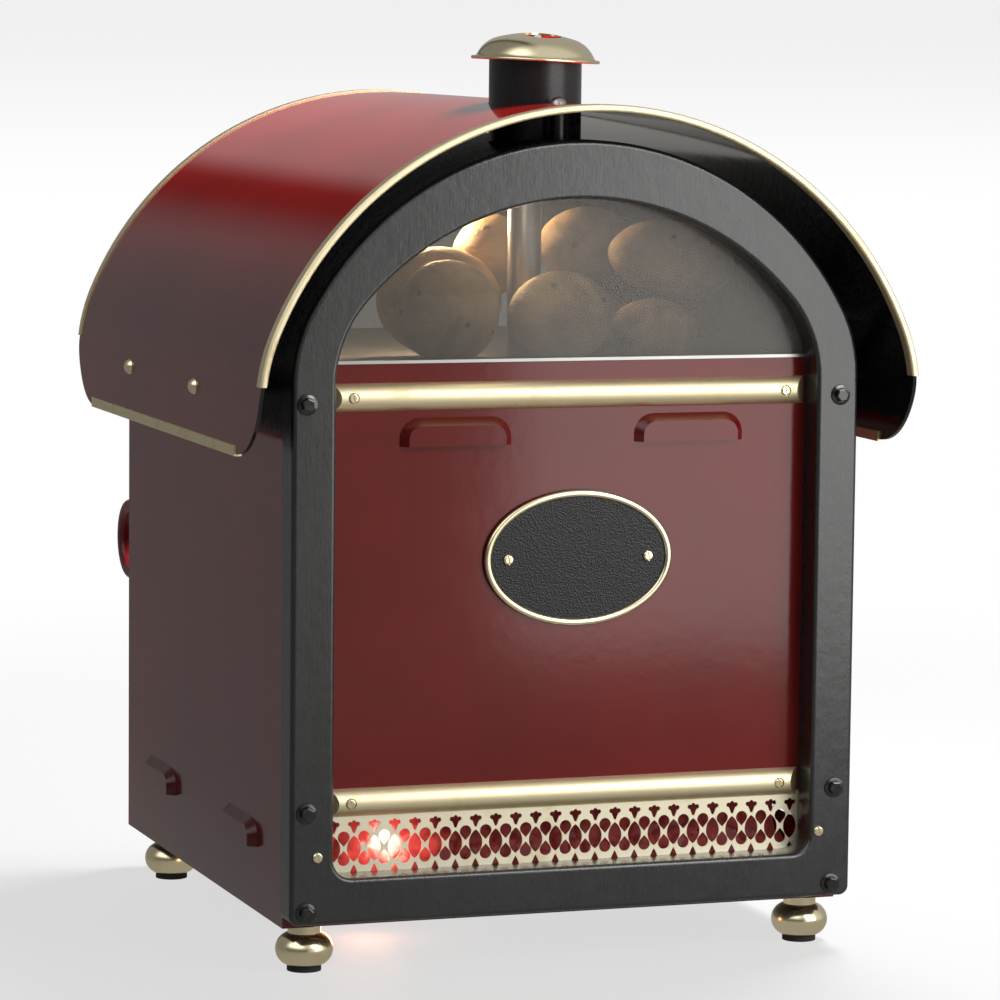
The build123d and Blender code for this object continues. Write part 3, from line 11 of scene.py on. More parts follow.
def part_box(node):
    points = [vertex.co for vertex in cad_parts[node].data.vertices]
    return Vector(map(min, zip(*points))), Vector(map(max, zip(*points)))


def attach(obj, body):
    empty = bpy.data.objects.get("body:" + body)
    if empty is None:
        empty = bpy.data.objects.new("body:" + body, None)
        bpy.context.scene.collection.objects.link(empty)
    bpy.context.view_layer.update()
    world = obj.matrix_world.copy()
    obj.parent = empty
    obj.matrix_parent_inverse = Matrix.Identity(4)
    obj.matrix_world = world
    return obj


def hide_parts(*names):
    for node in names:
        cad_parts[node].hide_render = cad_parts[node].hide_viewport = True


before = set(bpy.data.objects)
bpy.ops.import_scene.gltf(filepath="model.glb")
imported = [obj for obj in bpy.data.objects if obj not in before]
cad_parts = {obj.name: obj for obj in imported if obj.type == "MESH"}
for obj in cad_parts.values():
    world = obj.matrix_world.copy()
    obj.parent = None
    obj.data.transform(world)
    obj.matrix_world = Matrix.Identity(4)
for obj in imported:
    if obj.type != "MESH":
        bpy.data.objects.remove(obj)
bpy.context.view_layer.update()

bl_info = {
    "name": "Baked Potato Oven",
    "version": (1, 0, 0),
    "blender": (4, 5, 0),
    "location": "3D View > Sidebar > Potato Oven",
    "description": "Dresses a counter-top baked potato oven piece by piece",
    "category": "Add Mesh",
}

CABINET = "cabinet"
cast_low, cast_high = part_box("front_casting")
FACE_Y = cast_low.y                     # face of the cast front
CAST_Z = cast_low.z                     # bottom edge of the cast front
MM = 0.001

# Finishes stretched along one way: fine lines across two axes, long along the third.
ALONG_X, ALONG_Z = (30.0, 900.0, 900.0), (900.0, 900.0, 25.0)


def at(x, depth, height):
    """A point from millimetres: across, back from the cast face, up from the cast front's foot."""
    return Vector((x * MM, FACE_Y + depth * MM, CAST_Z + height * MM))


# ---------------------------------------------------------------- shader maths


class Wire:
    """An output socket in a node tree. Arithmetic on it adds Math nodes."""

    def __init__(self, nodes, socket):
        self.nodes, self.socket = nodes, socket

    def _maths(self, operation, *values):
        return self.nodes.node("ShaderNodeMath", {"operation": operation}, *values).out()

    def __add__(self, other):
        return self._maths("ADD", self, other)

    def __sub__(self, other):
        return self._maths("SUBTRACT", self, other)

    def __rsub__(self, other):
        return self._maths("SUBTRACT", other, self)

    def __mul__(self, other):
        return self._maths("MULTIPLY", self, other)

    def __lt__(self, other):
        return self._maths("LESS_THAN", self, other)

    def __gt__(self, other):
        return self._maths("GREATER_THAN", self, other)

    __radd__, __rmul__ = __add__, __mul__

    def root(self):
        """The square root."""
        return self._maths("SQRT", self)

    def clamped(self, low, high, start=0.0, end=1.0):
        """Runs from start to end while the value runs from low to high."""
        settings = {"interpolation_type": "SMOOTHSTEP", "clamp": True}
        return self.nodes.node("ShaderNodeMapRange", settings, self, low, high, start, end).out()


class Placed:
    """A node whose outputs are wires."""

    def __init__(self, nodes, node):
        self.nodes, self.node = nodes, node

    def out(self, name=0):
        return Wire(self.nodes, self.node.outputs[name])


class Nodes:
    """A shader node tree that is being built."""

    def __init__(self, tree):
        self.tree = tree

    def node(self, kind, settings=None, *values, **named):
        """Adds a node: settings first, then its sockets in order, then its sockets by name."""
        made = self.tree.nodes.new(kind)
        for setting, value in (settings or {}).items():
            setattr(made, setting, value)
        for place, value in enumerate(values):
            self._feed(made.inputs[place], value)
        for socket, value in named.items():
            self._feed(made.inputs[socket.replace("_", " ")], value)
        return Placed(self, made)

    def _feed(self, socket, value):
        if isinstance(value, Wire):
            self.tree.links.new(value.socket, socket)
        else:
            socket.default_value = value

    def choose(self, amount, otherwise, when):
        """A number between two, by a wire from 0 to 1."""
        made = self.node("ShaderNodeMix", {"data_type": "FLOAT"})
        for place, value in ((0, amount), (2, otherwise), (3, when)):
            self._feed(made.node.inputs[place], value)
        return made.out()

    def mixed(self, amount, first, second):
        """A shader between two, by a wire from 0 to 1."""
        return self.node("ShaderNodeMixShader", None, amount, first, second).out()


class Finish(Nodes):
    """A material for one finish, its surface set by constants and by what is plugged in."""

    def __init__(self, name, **constants):
        self.material = bpy.data.materials.new(name)
        self.material.use_nodes = True
        super().__init__(self.material.node_tree)
        self.surface = self.tree.nodes["Principled BSDF"]
        for socket, value in constants.items():
            self.plug(socket.replace("_", " ").title().replace("Ior", "IOR"), value)

    def plug(self, socket, value):
        """Sets one of the surface's inputs to a wire, a number or a colour."""
        if not isinstance(value, (Wire, float, int)):
            value = (*value, 1.0)
        self._feed(self.surface.inputs[socket], value)

    def place(self, scale=None):
        """Object coordinates in metres, stretched where a scale is given."""
        where = self.node("ShaderNodeTexCoord").out("Object")
        if scale is None:
            return where
        return self.node("ShaderNodeMapping", None, where, Scale=scale).out()

    def axes(self):
        """Object coordinates as three wires."""
        split = self.node("ShaderNodeSeparateXYZ", None, self.place())
        return split.out("X"), split.out("Y"), split.out("Z")

    def speckle(self, scale, detail=2.0, rough=0.5, where=None, distort=0.0):
        """Cloudy noise from 0 to 1."""
        return self.node(
            "ShaderNodeTexNoise", None, Vector=where or self.place(), Scale=scale, Detail=detail,
            Roughness=rough, Distortion=distort,
        ).out("Fac")

    def cells(self, scale):
        """Distance from the nearest of many scattered points."""
        return self.node(
            "ShaderNodeTexVoronoi", {"feature": "F1"}, Vector=self.place(), Scale=scale,
        ).out("Distance")

    def blend(self, amount, first, second):
        """A colour between two, by a wire from 0 to 1."""
        made = self.node("ShaderNodeMix", {"data_type": "RGBA"})
        self._feed(made.node.inputs[0], amount)
        for place, colour in ((6, first), (7, second)):
            self._feed(made.node.inputs[place], colour if isinstance(colour, Wire) else (*colour, 1.0))
        return made.out(2)

    def bump(self, height, distance, strength):
        """Relief in the surface, its height a wire and its distance in metres."""
        made = self.node("ShaderNodeBump", None, Strength=strength, Distance=distance, Height=height)
        self.plug("Normal", made.out())


# ---------------------------------------------------------------- finishes


def cast_black(looks):
    """Satin black enamel over a sand-cast skin."""
    f = Finish("cast_black", metallic=0.0, specular_ior_level=0.9)
    grain = f.speckle(420.0, 3.0, 0.6)
    broad = f.speckle(16.0, 3.0, 0.6)
    drawn = f.speckle(1.0, 4.0, 0.65, f.place((620.0, 620.0, 40.0)))
    f.plug("Base Color", f.blend(broad * 0.6 + drawn * 0.4, looks.cast_dark, looks.cast_light))
    f.plug("Roughness", 0.17 + drawn * 0.12 + broad * 0.1)
    f.bump(grain * 0.6 + drawn * 0.35 + f.speckle(90.0, 2.0) * 1.1, 0.00035, 0.6)
    return f.material


def black_steel():
    """Semi-gloss black painted steel."""
    f = Finish("black_steel", metallic=0.0)
    peel = f.speckle(260.0, 2.0)
    f.plug("Base Color", f.blend(f.speckle(9.0), (0.010, 0.010, 0.011), (0.022, 0.022, 0.024)))
    f.plug("Roughness", 0.2 + peel * 0.14)
    f.bump(peel, 0.00012, 0.4)
    return f.material


def bolt_black():
    """Glossy blackened steel of the bolts."""
    f = Finish("bolt_black", metallic=0.2, specular_ior_level=1.0)
    wear = f.speckle(180.0, 3.0, 0.6)
    f.plug("Base Color", f.blend(wear.clamped(0.45, 0.75), (0.006, 0.006, 0.007), (0.03, 0.03, 0.032)))
    f.plug("Roughness", 0.08 + wear * 0.1)
    f.bump(wear, 0.00008, 0.5)
    return f.material


def enamel(name, deep, bright, ripple=0.5, rough=0.11, gloss=0.5):
    """Vitreous enamel: colour under clear glass, with a faint ripple."""
    f = Finish(name, metallic=0.0, specular_ior_level=gloss)
    waves = f.speckle(95.0, 2.0, 0.5)
    cloud = f.speckle(6.0, 3.0, 0.55)
    f.plug("Base Color", f.blend(cloud.clamped(0.3, 0.7), deep, bright))
    f.plug("Roughness", rough + f.speckle(40.0) * 0.05)
    f.bump(waves + f.speckle(320.0) * 0.2, 0.00012, ripple)
    return f


def canopy_enamel(looks):
    """Red outside and black inside the curved sheet, told apart by which way its surface faces."""
    f = enamel("canopy_enamel", looks.canopy_deep, looks.canopy_bright, 0.12, 0.03)
    x, _, z = f.axes()
    centre_z = CAST_Z + 364 * MM        # centre of the canopy's top arc
    facing = f.node("ShaderNodeSeparateXYZ", None, f.node("ShaderNodeNewGeometry").out("Normal"))
    outward = facing.out("X") * x + facing.out("Z") * (z - centre_z)
    cloud = f.speckle(6.0, 3.0, 0.55)
    red = f.blend(cloud.clamped(0.3, 0.7), looks.canopy_deep, looks.canopy_bright)
    f.plug("Base Color", f.blend(outward > 0.02, (0.008, 0.008, 0.009), red))
    return f.material


def brass(name, tone, low=0.3, high=0.42, stretch=ALONG_X):
    """Polished pale brass with the faint lines of a polishing belt and a little tarnish."""
    f = Finish(name, metallic=1.0)
    lines = f.speckle(1.0, 3.0, 0.6, f.place(stretch))
    tarnish = f.speckle(34.0, 4.0, 0.6)
    darker = tuple(c * k for c, k in zip(tone, (0.86, 0.82, 0.72)))
    f.plug("Base Color", f.blend(tarnish.clamped(0.5, 0.8), tone, darker))
    f.plug("Roughness", low + lines * (high - low) + tarnish.clamped(0.5, 0.8) * 0.08)
    f.bump(lines, 0.00004, 0.5)
    return f


def canopy_bolt_metal(tone):
    """Brass bolts along the sides, a plain steel one on the crown."""
    f = brass("bolt_brass", tone, 0.2, 0.3, (400.0, 400.0, 400.0))
    _, _, z = f.axes()
    above_sides = CAST_Z + 600 * MM
    f.plug("Base Color", f.blend(z > above_sides, tone, (0.42, 0.42, 0.41)))
    return f.material


def bright_steel(name, tone, stretch=ALONG_X):
    """Brushed stainless sheet."""
    f = Finish(name, metallic=1.0)
    lines = f.speckle(1.0, 3.0, 0.6, f.place(stretch))
    smear = f.speckle(11.0, 3.0)
    f.plug("Base Color", f.blend(smear, tone, tuple(c * 0.82 for c in tone)))
    f.plug("Roughness", 0.2 + lines * 0.2 + smear * 0.08)
    f.bump(lines, 0.00004, 0.4)
    return f.material


def badge_metal(looks):
    """Polished rim; the sunk field is filled with black enamel over a pebbled casting."""
    f = brass("badge_metal", looks.brass_tone)
    _, y, _ = f.axes()
    field_depth = 24.6 * MM             # just ahead of the sunk field
    rim = y < FACE_Y + field_depth
    pebble = f.cells(650.0) + f.speckle(400.0) * 0.5
    tone = f.blend(f.speckle(34.0, 4.0).clamped(0.5, 0.8), looks.brass_tone, (0.72, 0.63, 0.42))
    f.plug("Base Color", f.blend(rim, (0.012, 0.012, 0.013), tone))
    f.plug("Metallic", rim)
    f.plug("Roughness", 0.42 - rim * 0.2)
    f.bump(pebble * (1.0 - rim), 0.0005, 0.8)
    return f.material


def smoked_glass(looks):
    """Smoke-tinted pane, faintly dusty."""
    f = Finish("smoked_glass", metallic=0.0, base_color=looks.smoke_tint)
    haze = f.speckle(7.0, 4.0, 0.6)
    f.plug("Roughness", 0.12 + haze * 0.05)
    f.plug("Alpha", looks.smoke + haze * 0.08)
    return f.material


def clear_glass():
    """Pane of the rear door, tinted dark and half opaque as painted shade that darkens the view into the
    display chamber, with faint blotches.
    """
    # Painted shade: the dark tint and half opacity darken what is seen through the window behind the potatoes.
    f = Finish("clear_glass", metallic=0.0, base_color=(0.04, 0.045, 0.04))
    f.plug("Roughness", 0.02 + f.speckle(9.0, 4.0) * 0.05)
    f.plug("Alpha", 0.5 + f.speckle(5.0, 3.0) * 0.08)
    return f.material


def lamp_glass():
    """Frosted bulb, lit."""
    f = Finish("lamp_glass", base_color=(1.0, 0.86, 0.62), roughness=0.3, emission_strength=9.0)
    f.plug("Emission Color", f.blend(f.speckle(60.0), (1.0, 0.55, 0.22), (1.0, 0.70, 0.36)))
    return f.material


def lamp_ceramic():
    """Unglazed lamp socket."""
    f = Finish("lamp_ceramic", base_color=(0.72, 0.69, 0.62))
    f.plug("Roughness", 0.6 + f.speckle(400.0) * 0.2)
    f.bump(f.speckle(900.0, 3.0), 0.0001, 0.6)
    return f.material


def ember(looks):
    """Moulded coals with a painted glow: emission painted white-hot round the lamp's place, then red, then
    dull maroon, standing in for the lamp below lighting them.
    """
    f = Finish("ember", emission_strength=looks.ember_glow)
    x, _, z = f.axes()
    lamp = at(-147, 60, 55)
    across, rise = x - lamp.x, z - lamp.z
    uneven = (f.speckle(60.0, 3.0) - 0.5) * 0.05
    away = (across * across + rise * rise * 1.6).root() + uneven
    # Painted light: the emission is white-hot near the lamp's place and fades through red to dull maroon with
    # distance.
    painted_hot_spot = 1.0 - away.clamped(0.0, 0.022)
    painted_red_glow = 1.0 - away.clamped(0.010, 0.054)
    crack = f.cells(70.0).clamped(0.05, 0.6)
    red = f.blend(painted_red_glow, (0.020, 0.0025, 0.0022), (0.42, 0.032, 0.026))
    f.plug("Emission Color", f.blend(painted_hot_spot, red, (1.0, 0.72, 0.52)))
    f.plug("Base Color", f.blend(crack, (0.05, 0.010, 0.009), (0.20, 0.022, 0.020)))
    f.plug("Roughness", 0.45 + crack * 0.25)
    f.bump(f.speckle(240.0, 4.0, 0.65) + crack, 0.0012, 0.7)
    return f.material


def rubber():
    """Matt black rubber."""
    f = Finish("rubber")
    dust = f.speckle(90.0, 3.0)
    f.plug("Base Color", f.blend(dust, (0.012, 0.012, 0.012), (0.03, 0.03, 0.03)))
    f.plug("Roughness", 0.7 + dust * 0.2)
    f.bump(f.speckle(1400.0), 0.0001, 0.5)
    return f.material


def moulded(name, tone, low=0.3, high=0.5):
    """Injection-moulded plastic with a fine spark-eroded grain."""
    f = Finish(name)
    grain = f.speckle(1300.0, 2.0)
    f.plug("Base Color", f.blend(f.speckle(30.0), tone, tuple(c * 0.8 for c in tone)))
    f.plug("Roughness", low + grain * (high - low))
    f.bump(grain, 0.00006, 0.5)
    return f.material


def mineral_wool():
    """Yellow-brown mineral wool."""
    f = Finish("mineral_wool", roughness=0.95)
    strands = f.speckle(1.0, 4.0, 0.7, f.place((700.0, 180.0, 700.0)))
    f.plug("Base Color", f.blend(strands, (0.35, 0.29, 0.14), (0.62, 0.55, 0.34)))
    f.bump(strands, 0.0012, 0.8)
    return f.material


def motor_grey():
    """Cast motor body, painted grey."""
    f = Finish("motor_grey", metallic=0.6)
    grain = f.speckle(500.0, 3.0)
    f.plug("Base Color", f.blend(f.speckle(20.0), (0.24, 0.24, 0.25), (0.34, 0.34, 0.35)))
    f.plug("Roughness", 0.42 + grain * 0.15)
    f.bump(grain, 0.0002, 0.5)
    return f.material


def element_dark():
    """Heater sheath, darkened and blued by use."""
    f = Finish("element_dark", metallic=0.8)
    stain = f.speckle(45.0, 4.0)
    f.plug("Base Color", f.blend(stain, (0.09, 0.075, 0.07), (0.20, 0.17, 0.20)))
    f.plug("Roughness", 0.4 + stain * 0.2)
    f.bump(f.speckle(800.0), 0.00008, 0.5)
    return f.material


def amber_lens():
    """Amber indicator lens, ribbed inside."""
    f = Finish("amber_lens", roughness=0.15, emission_strength=0.5)
    ribs = f.node("ShaderNodeTexWave", {"bands_direction": "X"}, Vector=f.place(), Scale=280.0).out("Fac")
    f.plug("Base Color", f.blend(ribs, (0.75, 0.30, 0.02), (0.95, 0.48, 0.05)))
    f.plug("Emission Color", f.blend(ribs, (0.8, 0.28, 0.02), (1.0, 0.45, 0.05)))
    f.bump(ribs, 0.0003, 0.4)
    return f.material


def potato_skin(looks):
    """Baked skin: dry brown with darker patches, pores, creases and sunk eyes."""
    f = Finish("potato_skin", specular_ior_level=0.35)
    patch = f.speckle(22.0, 4.0, 0.6, distort=0.4)
    fine = f.speckle(260.0, 4.0, 0.7)
    pores = f.cells(150.0).clamped(0.0, 0.35)
    eyes = f.cells(42.0).clamped(0.02, 0.16)
    base = f.blend(patch.clamped(0.32, 0.68), looks.skin_dark, looks.skin_light)
    base = f.blend((1.0 - pores) * 0.3, base, (0.20, 0.12, 0.055))
    base = f.blend(1.0 - eyes, base, (0.10, 0.055, 0.025))
    f.plug("Base Color", base)
    f.plug("Roughness", 0.5 + fine * 0.3)
    creases = f.speckle(1.0, 5.0, 0.7, f.place((45.0, 45.0, 130.0)), 0.8)
    f.bump(creases * 1.3 + fine * 0.3 + eyes * 1.4, 0.0026, 0.8)
    return f.material


def dial_white():
    """White pad-printed marks."""
    f = Finish("dial_white", base_color=(0.75, 0.75, 0.73))
    f.plug("Roughness", 0.5 + f.speckle(900.0) * 0.15)
    f.bump(f.speckle(1500.0), 0.00003, 0.4)
    return f.material


# ---------------------------------------------------------------- settings


def colour(name, description, value):
    """A colour that a user can change."""
    return FloatVectorProperty(
        name=name, description=description, subtype="COLOR", size=3, min=0.0, max=1.0, default=value)


def length(name, description, millimetres):
    """A length that a user can change."""
    return FloatProperty(name=name, description=description, unit="LENGTH", default=millimetres * MM)


class OvenLooks(bpy.types.PropertyGroup):
    """Colours of the oven's finishes, as linear values."""

    cast_dark: colour("Cast front, dark", "Darker tone of the black cast front", (0.007, 0.0075, 0.0085))
    cast_light: colour("Cast front, light", "Lighter tone of the black cast front", (0.020, 0.021, 0.023))
    panel_deep: colour("Body enamel, deep", "Deeper tone of the burgundy panels", (0.140, 0.0062, 0.0048))
    panel_bright: colour("Body enamel, bright", "Brighter tone of the panels", (0.174, 0.0080, 0.0062))
    canopy_deep: colour("Canopy enamel, deep", "Deeper tone of the red canopy", (0.150, 0.0030, 0.0026))
    canopy_bright: colour("Canopy enamel, bright", "Brighter tone of the canopy", (0.185, 0.0040, 0.0032))
    brass_tone: colour("Brass", "Colour of the polished brass", (0.95, 0.84, 0.56))
    smoke_tint: colour("Smoke tint", "Colour of the smoked window", (0.17, 0.16, 0.145))
    smoke: FloatProperty(
        name="Smoke", description="How much of the view the window hides", subtype="FACTOR",
        min=0, max=1, default=0.40)
    skin_dark: colour("Potato, dark", "Darker tone of the potato skin", (0.34, 0.22, 0.10))
    skin_light: colour("Potato, light", "Lighter tone of the potato skin", (0.62, 0.45, 0.24))
    ember_glow: FloatProperty(
        name="Ember glow", description="Strength of the coals' light", min=0, max=20, default=2.2)


class OvenSizes(bpy.types.PropertyGroup):
    """Sizes of the pieces that are made here."""

    flange_radius: length("Bolt flange radius", "Radius of a casting bolt's flange", 8.5)
    hexagon: length("Bolt hexagon", "Casting bolt's hexagon across its flats", 10)
    bolt_head: length("Bolt head height", "Height of a casting bolt's head", 6)
    skin_lump: length("Potato lumps", "How far a potato's skin dips below its smooth form", 3.2)
    coal_size: length("Coal size", "Half the width of a typical moulded coal", 11)
    coal_count: IntProperty(name="Coals", description="Number of moulded coals", min=1, default=150)
    tick_length: length("Dial tick length", "Length of a mark round a knob", 3)


# ---------------------------------------------------------------- making pieces


def dress(material, *nodes):
    """Gives CAD nodes a finish."""
    for name in nodes:
        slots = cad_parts[name].data.materials
        slots.clear()
        slots.append(material)


def piece(name, bm, material, body=CABINET, smooth=True):
    """Turns a bmesh into a finished piece at the origin."""
    mesh = bpy.data.meshes.new(name)
    bm.to_mesh(mesh)
    bm.free()
    for face in mesh.polygons:
        face.use_smooth = smooth
    made = bpy.data.objects.new(name, mesh)
    bpy.context.scene.collection.objects.link(made)
    if material:
        mesh.materials.append(material)
    if body:
        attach(made, body)
    return made


def copies_tree():
    """Geometry nodes: a copy of a part at each point, stood along the point's facing, scaled by its size."""
    tree = bpy.data.node_groups.new("Copies On Points", "GeometryNodeTree")
    face = tree.interface
    inputs = (("Geometry", "Geometry"), ("Part", "Object"), ("Finish", "Material"), ("Swell", "Float"))
    for label, kind in inputs:
        face.new_socket(name=label, in_out="INPUT", socket_type="NodeSocket" + kind)
    face.new_socket(name="Geometry", in_out="OUTPUT", socket_type="NodeSocketGeometry")
    make, join = tree.nodes.new, tree.links.new
    given, done = make("NodeGroupInput"), make("NodeGroupOutput")
    part = make("GeometryNodeObjectInfo")
    join(given.outputs["Part"], part.inputs["Object"])
    facing, spin, size = (make("GeometryNodeInputNamedAttribute") for _ in range(3))
    facing.data_type, spin.data_type, size.data_type = "FLOAT_VECTOR", "FLOAT", "FLOAT"
    for node, label in ((facing, "facing"), (spin, "spin"), (size, "size")):
        node.inputs["Name"].default_value = label
    align = make("FunctionNodeAlignRotationToVector")
    align.axis = "Z"
    join(facing.outputs[0], align.inputs["Vector"])
    turn = make("FunctionNodeAxisAngleToRotation")
    turn.inputs["Axis"].default_value = (0, 0, 1)
    join(spin.outputs[0], turn.inputs["Angle"])
    both = make("FunctionNodeRotateRotation")
    both.rotation_space = "LOCAL"
    join(align.outputs[0], both.inputs[0])
    join(turn.outputs[0], both.inputs[1])
    swell = make("ShaderNodeMath")
    swell.operation = "MULTIPLY"
    join(size.outputs[0], swell.inputs[0])
    join(given.outputs["Swell"], swell.inputs[1])
    place = make("GeometryNodeInstanceOnPoints")
    join(given.outputs["Geometry"], place.inputs["Points"])
    join(part.outputs["Geometry"], place.inputs["Instance"])
    join(both.outputs[0], place.inputs["Rotation"])
    join(swell.outputs[0], place.inputs["Scale"])
    real, coat = make("GeometryNodeRealizeInstances"), make("GeometryNodeSetMaterial")
    join(place.outputs[0], real.inputs[0])
    join(real.outputs[0], coat.inputs["Geometry"])
    join(given.outputs["Finish"], coat.inputs["Material"])
    join(coat.outputs[0], done.inputs[0])
    return tree


def copies(name, part, spots, material, body=CABINET, smooth=True):
    """Copies of a part, each spot being (place, facing, spin, size), as one plain mesh."""
    tree = bpy.data.node_groups.get("Copies On Points") or copies_tree()
    mesh = bpy.data.meshes.new(name)
    mesh.from_pydata([spot[0] for spot in spots], [], [])
    for label, kind, column in (("facing", "FLOAT_VECTOR", 1), ("spin", "FLOAT", 2), ("size", "FLOAT", 3)):
        values = mesh.attributes.new(label, kind, "POINT").data
        for value, spot in zip(values, spots):
            if kind == "FLOAT":
                value.value = spot[column]
            else:
                value.vector = spot[column]
    made = bpy.data.objects.new(name, mesh)
    bpy.context.scene.collection.objects.link(made)
    pattern = piece(name + "_pattern", part, None, body=None, smooth=smooth)
    grow = made.modifiers.new("Copies", "NODES")
    sockets = {each.name: each.identifier for each in tree.interface.items_tree if each.in_out == "INPUT"}
    grow.node_group = tree
    grow[sockets["Part"]] = pattern
    grow[sockets["Finish"]] = material
    grow[sockets["Swell"]] = 1.0
    bpy.context.view_layer.update()
    finished = made.evaluated_get(bpy.context.evaluated_depsgraph_get())
    shape = bpy.data.meshes.new_from_object(finished)
    made.modifiers.remove(grow)
    made.data = shape
    for old in (pattern.data, mesh):
        if old.users == 0:
            bpy.data.meshes.remove(old)
    bpy.data.objects.remove(pattern)
    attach(made, body)
    return made


def lathe(profile):
    """A turned form about Z from (radius, height) points, closed where the radius is zero."""
    bm = bmesh.new()
    points = [bm.verts.new((r, 0, z)) for r, z in profile]
    edges = [bm.edges.new(pair) for pair in zip(points, points[1:])]
    bmesh.ops.spin(bm, geom=points + edges, cent=(0, 0, 0), axis=(0, 0, 1), angle=2 * math.pi, steps=36)
    bmesh.ops.remove_doubles(bm, verts=bm.verts, dist=1e-6)
    bmesh.ops.recalc_face_normals(bm, faces=bm.faces)
    return bm


def flange_bolt(sizes):
    """Hexagon head, crowned and chamfered, on its washer-like flange."""
    r, top, half = sizes.flange_radius, sizes.bolt_head, sizes.hexagon / 2
    bm = lathe([
        (0, -2 * MM), (3 * MM, -2 * MM), (3 * MM, 0.05 * MM), (r - 0.4 * MM, 0.05 * MM),
        (r, 0.5 * MM), (r - 0.3 * MM, 1.1 * MM), (half * 1.2, 1.7 * MM), (0, 1.7 * MM),
    ])
    corner = half / math.cos(math.pi / 6)
    rings = []
    levels = (
        (corner, 1.2 * MM), (corner, top - 0.9 * MM), (corner * 0.97, top - 0.35 * MM), (half * 0.9, top),
    )
    turns = [k * math.pi / 3 for k in range(6)]
    for radius, height in levels:
        rings.append([bm.verts.new((radius * math.cos(t), radius * math.sin(t), height)) for t in turns])
    for low, high in zip(rings, rings[1:]):
        for k in range(6):
            bm.faces.new((low[k], low[(k + 1) % 6], high[(k + 1) % 6], high[k]))
    bm.faces.new(rings[-1])
    bm.faces.new(reversed(rings[0]))
    return bm


def block(width, depth, height):
    """A box about the origin."""
    bm = bmesh.new()
    bmesh.ops.create_cube(bm, size=1.0)
    bmesh.ops.scale(bm, vec=(width, depth, height), verts=bm.verts)
    return bm


def lump(radius, seed, depth):
    """A rough stone-like lump."""
    bm = bmesh.new()
    bmesh.ops.create_icosphere(bm, subdivisions=3, radius=radius)
    for v in bm.verts:
        way = v.co.normalized()
        broad = noise.noise(way * 1.3 + Vector((seed, 0, 0)))
        fine = noise.noise(way * 3.1 + Vector((0, seed, 0)))
        v.co *= 1.0 + depth * broad + 0.4 * depth * fine
    return bm


# ---------------------------------------------------------------- operators


class OvenOperator:
    """What the operators share."""

    bl_options = {"REGISTER"}

    @property
    def looks(self):
        """The colours that a user can change."""
        return bpy.context.scene.oven_looks

    @property
    def sizes(self):
        """The sizes that a user can change."""
        return bpy.context.scene.oven_sizes

    def execute(self, context):
        self.build()
        return {"FINISHED"}


class OVEN_OT_cast_front(OvenOperator, bpy.types.Operator):
    """Black cast front with its flange bolts"""

    bl_idname = "oven.cast_front"
    bl_label = "Cast Front"

    # millimetres across and up, over the casting's bolt holes
    bolt_places = (
        (-229.5, 11.0), (-229.5, 91.5), (-230.5, 418.0), (225.0, 11.0), (227.0, 91.5), (226.5, 418.0),
    )
    first_turn, next_turn = 15, 11      # degrees: no two bolts are tightened alike

    def build(self):
        dress(cast_black(self.looks), "front_casting")
        painted = ("roof_shell", "base_plate", "rear_frame", "canopy_spacers", "chimney_tube", "casting_bolts")
        dress(black_steel(), *painted)
        spots = [
            (at(x, 0, z), (0, -1, 0), math.radians(self.first_turn + self.next_turn * k), 1.0)
            for k, (x, z) in enumerate(self.bolt_places)
        ]
        head = flange_bolt(self.sizes)
        bolts = copies("cast_front_bolts", head, spots, bolt_black(), smooth=False)
        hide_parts("casting_bolts")


class OVEN_OT_enamel(OvenOperator, bpy.types.Operator):
    """Burgundy panels and the red canopy"""

    bl_idname = "oven.enamel"
    bl_label = "Enamelled Panels"

    def build(self):
        looks = self.looks
        panels = enamel("enamel_burgundy", tuple(looks.panel_deep), tuple(looks.panel_bright)).material
        dress(panels, "front_panel", "side_panel_left", "side_panel_right", "oven_door")
        dress(canopy_enamel(looks), "canopy_sheet")


class OVEN_OT_brasswork(OvenOperator, bpy.types.Operator):
    """Rails, fret, trims, badge, screws, feet and cap"""

    bl_idname = "oven.brasswork"
    bl_label = "Brasswork"

    def build(self):
        tone = tuple(self.looks.brass_tone)
        rails = brass("brass_rails", tone, 0.44, 0.54).material
        dress(rails, "upper_rail", "lower_rail", "canopy_trim_front", "canopy_trim_rear", "canopy_side_trims")
        fret = brass("brass_fret", (0.95, 0.88, 0.68), 0.42, 0.55, (500.0, 500.0, 500.0)).material
        dress(fret, "fender_fret")
        turned = brass("brass_turned", tone, 0.15, 0.24, (60.0, 60.0, 1200.0)).material
        dress(turned, "feet", "chimney_cap", "brass_screws")
        dress(canopy_bolt_metal(tone), "canopy_bolts")
        dress(badge_metal(self.looks), "badge")
        dress(rubber(), "foot_pads", "oven_door_seal")


class OVEN_OT_window(OvenOperator, bpy.types.Operator):
    """Smoked window and the steel strip under it"""

    bl_idname = "oven.window"
    bl_label = "Window"

    def build(self):
        dress(smoked_glass(self.looks), "window_glass")
        dress(bright_steel("strip_steel", (0.5, 0.5, 0.48)), "window_strip")


class OVEN_OT_coals(OvenOperator, bpy.types.Operator):
    """Moulded coals with a glow painted in, as if lit by the lamp below"""

    bl_idname = "oven.coals"
    bl_label = "Glowing Coals"

    # the sloping bed, in millimetres
    bed_sides, bed_front, bed_run, bed_foot, bed_rise = (-192, 196), 44, 28, 22, 60

    def build(self):
        glow = ember(self.looks)
        dress(glow, "coal_bed")
        pick = random.Random(11)
        spots = []
        for _ in range(self.sizes.coal_count):
            up_slope = pick.random()
            place = at(
                pick.uniform(*self.bed_sides), self.bed_front + up_slope * self.bed_run,
                self.bed_foot + up_slope * self.bed_rise)
            facing = [pick.uniform(-1, 1) for _ in range(3)]
            spots.append((place, facing, pick.uniform(0, 6.28), pick.uniform(0.7, 1.15)))
        copies("coals", lump(self.sizes.coal_size, 3.7, 0.45), spots, glow)


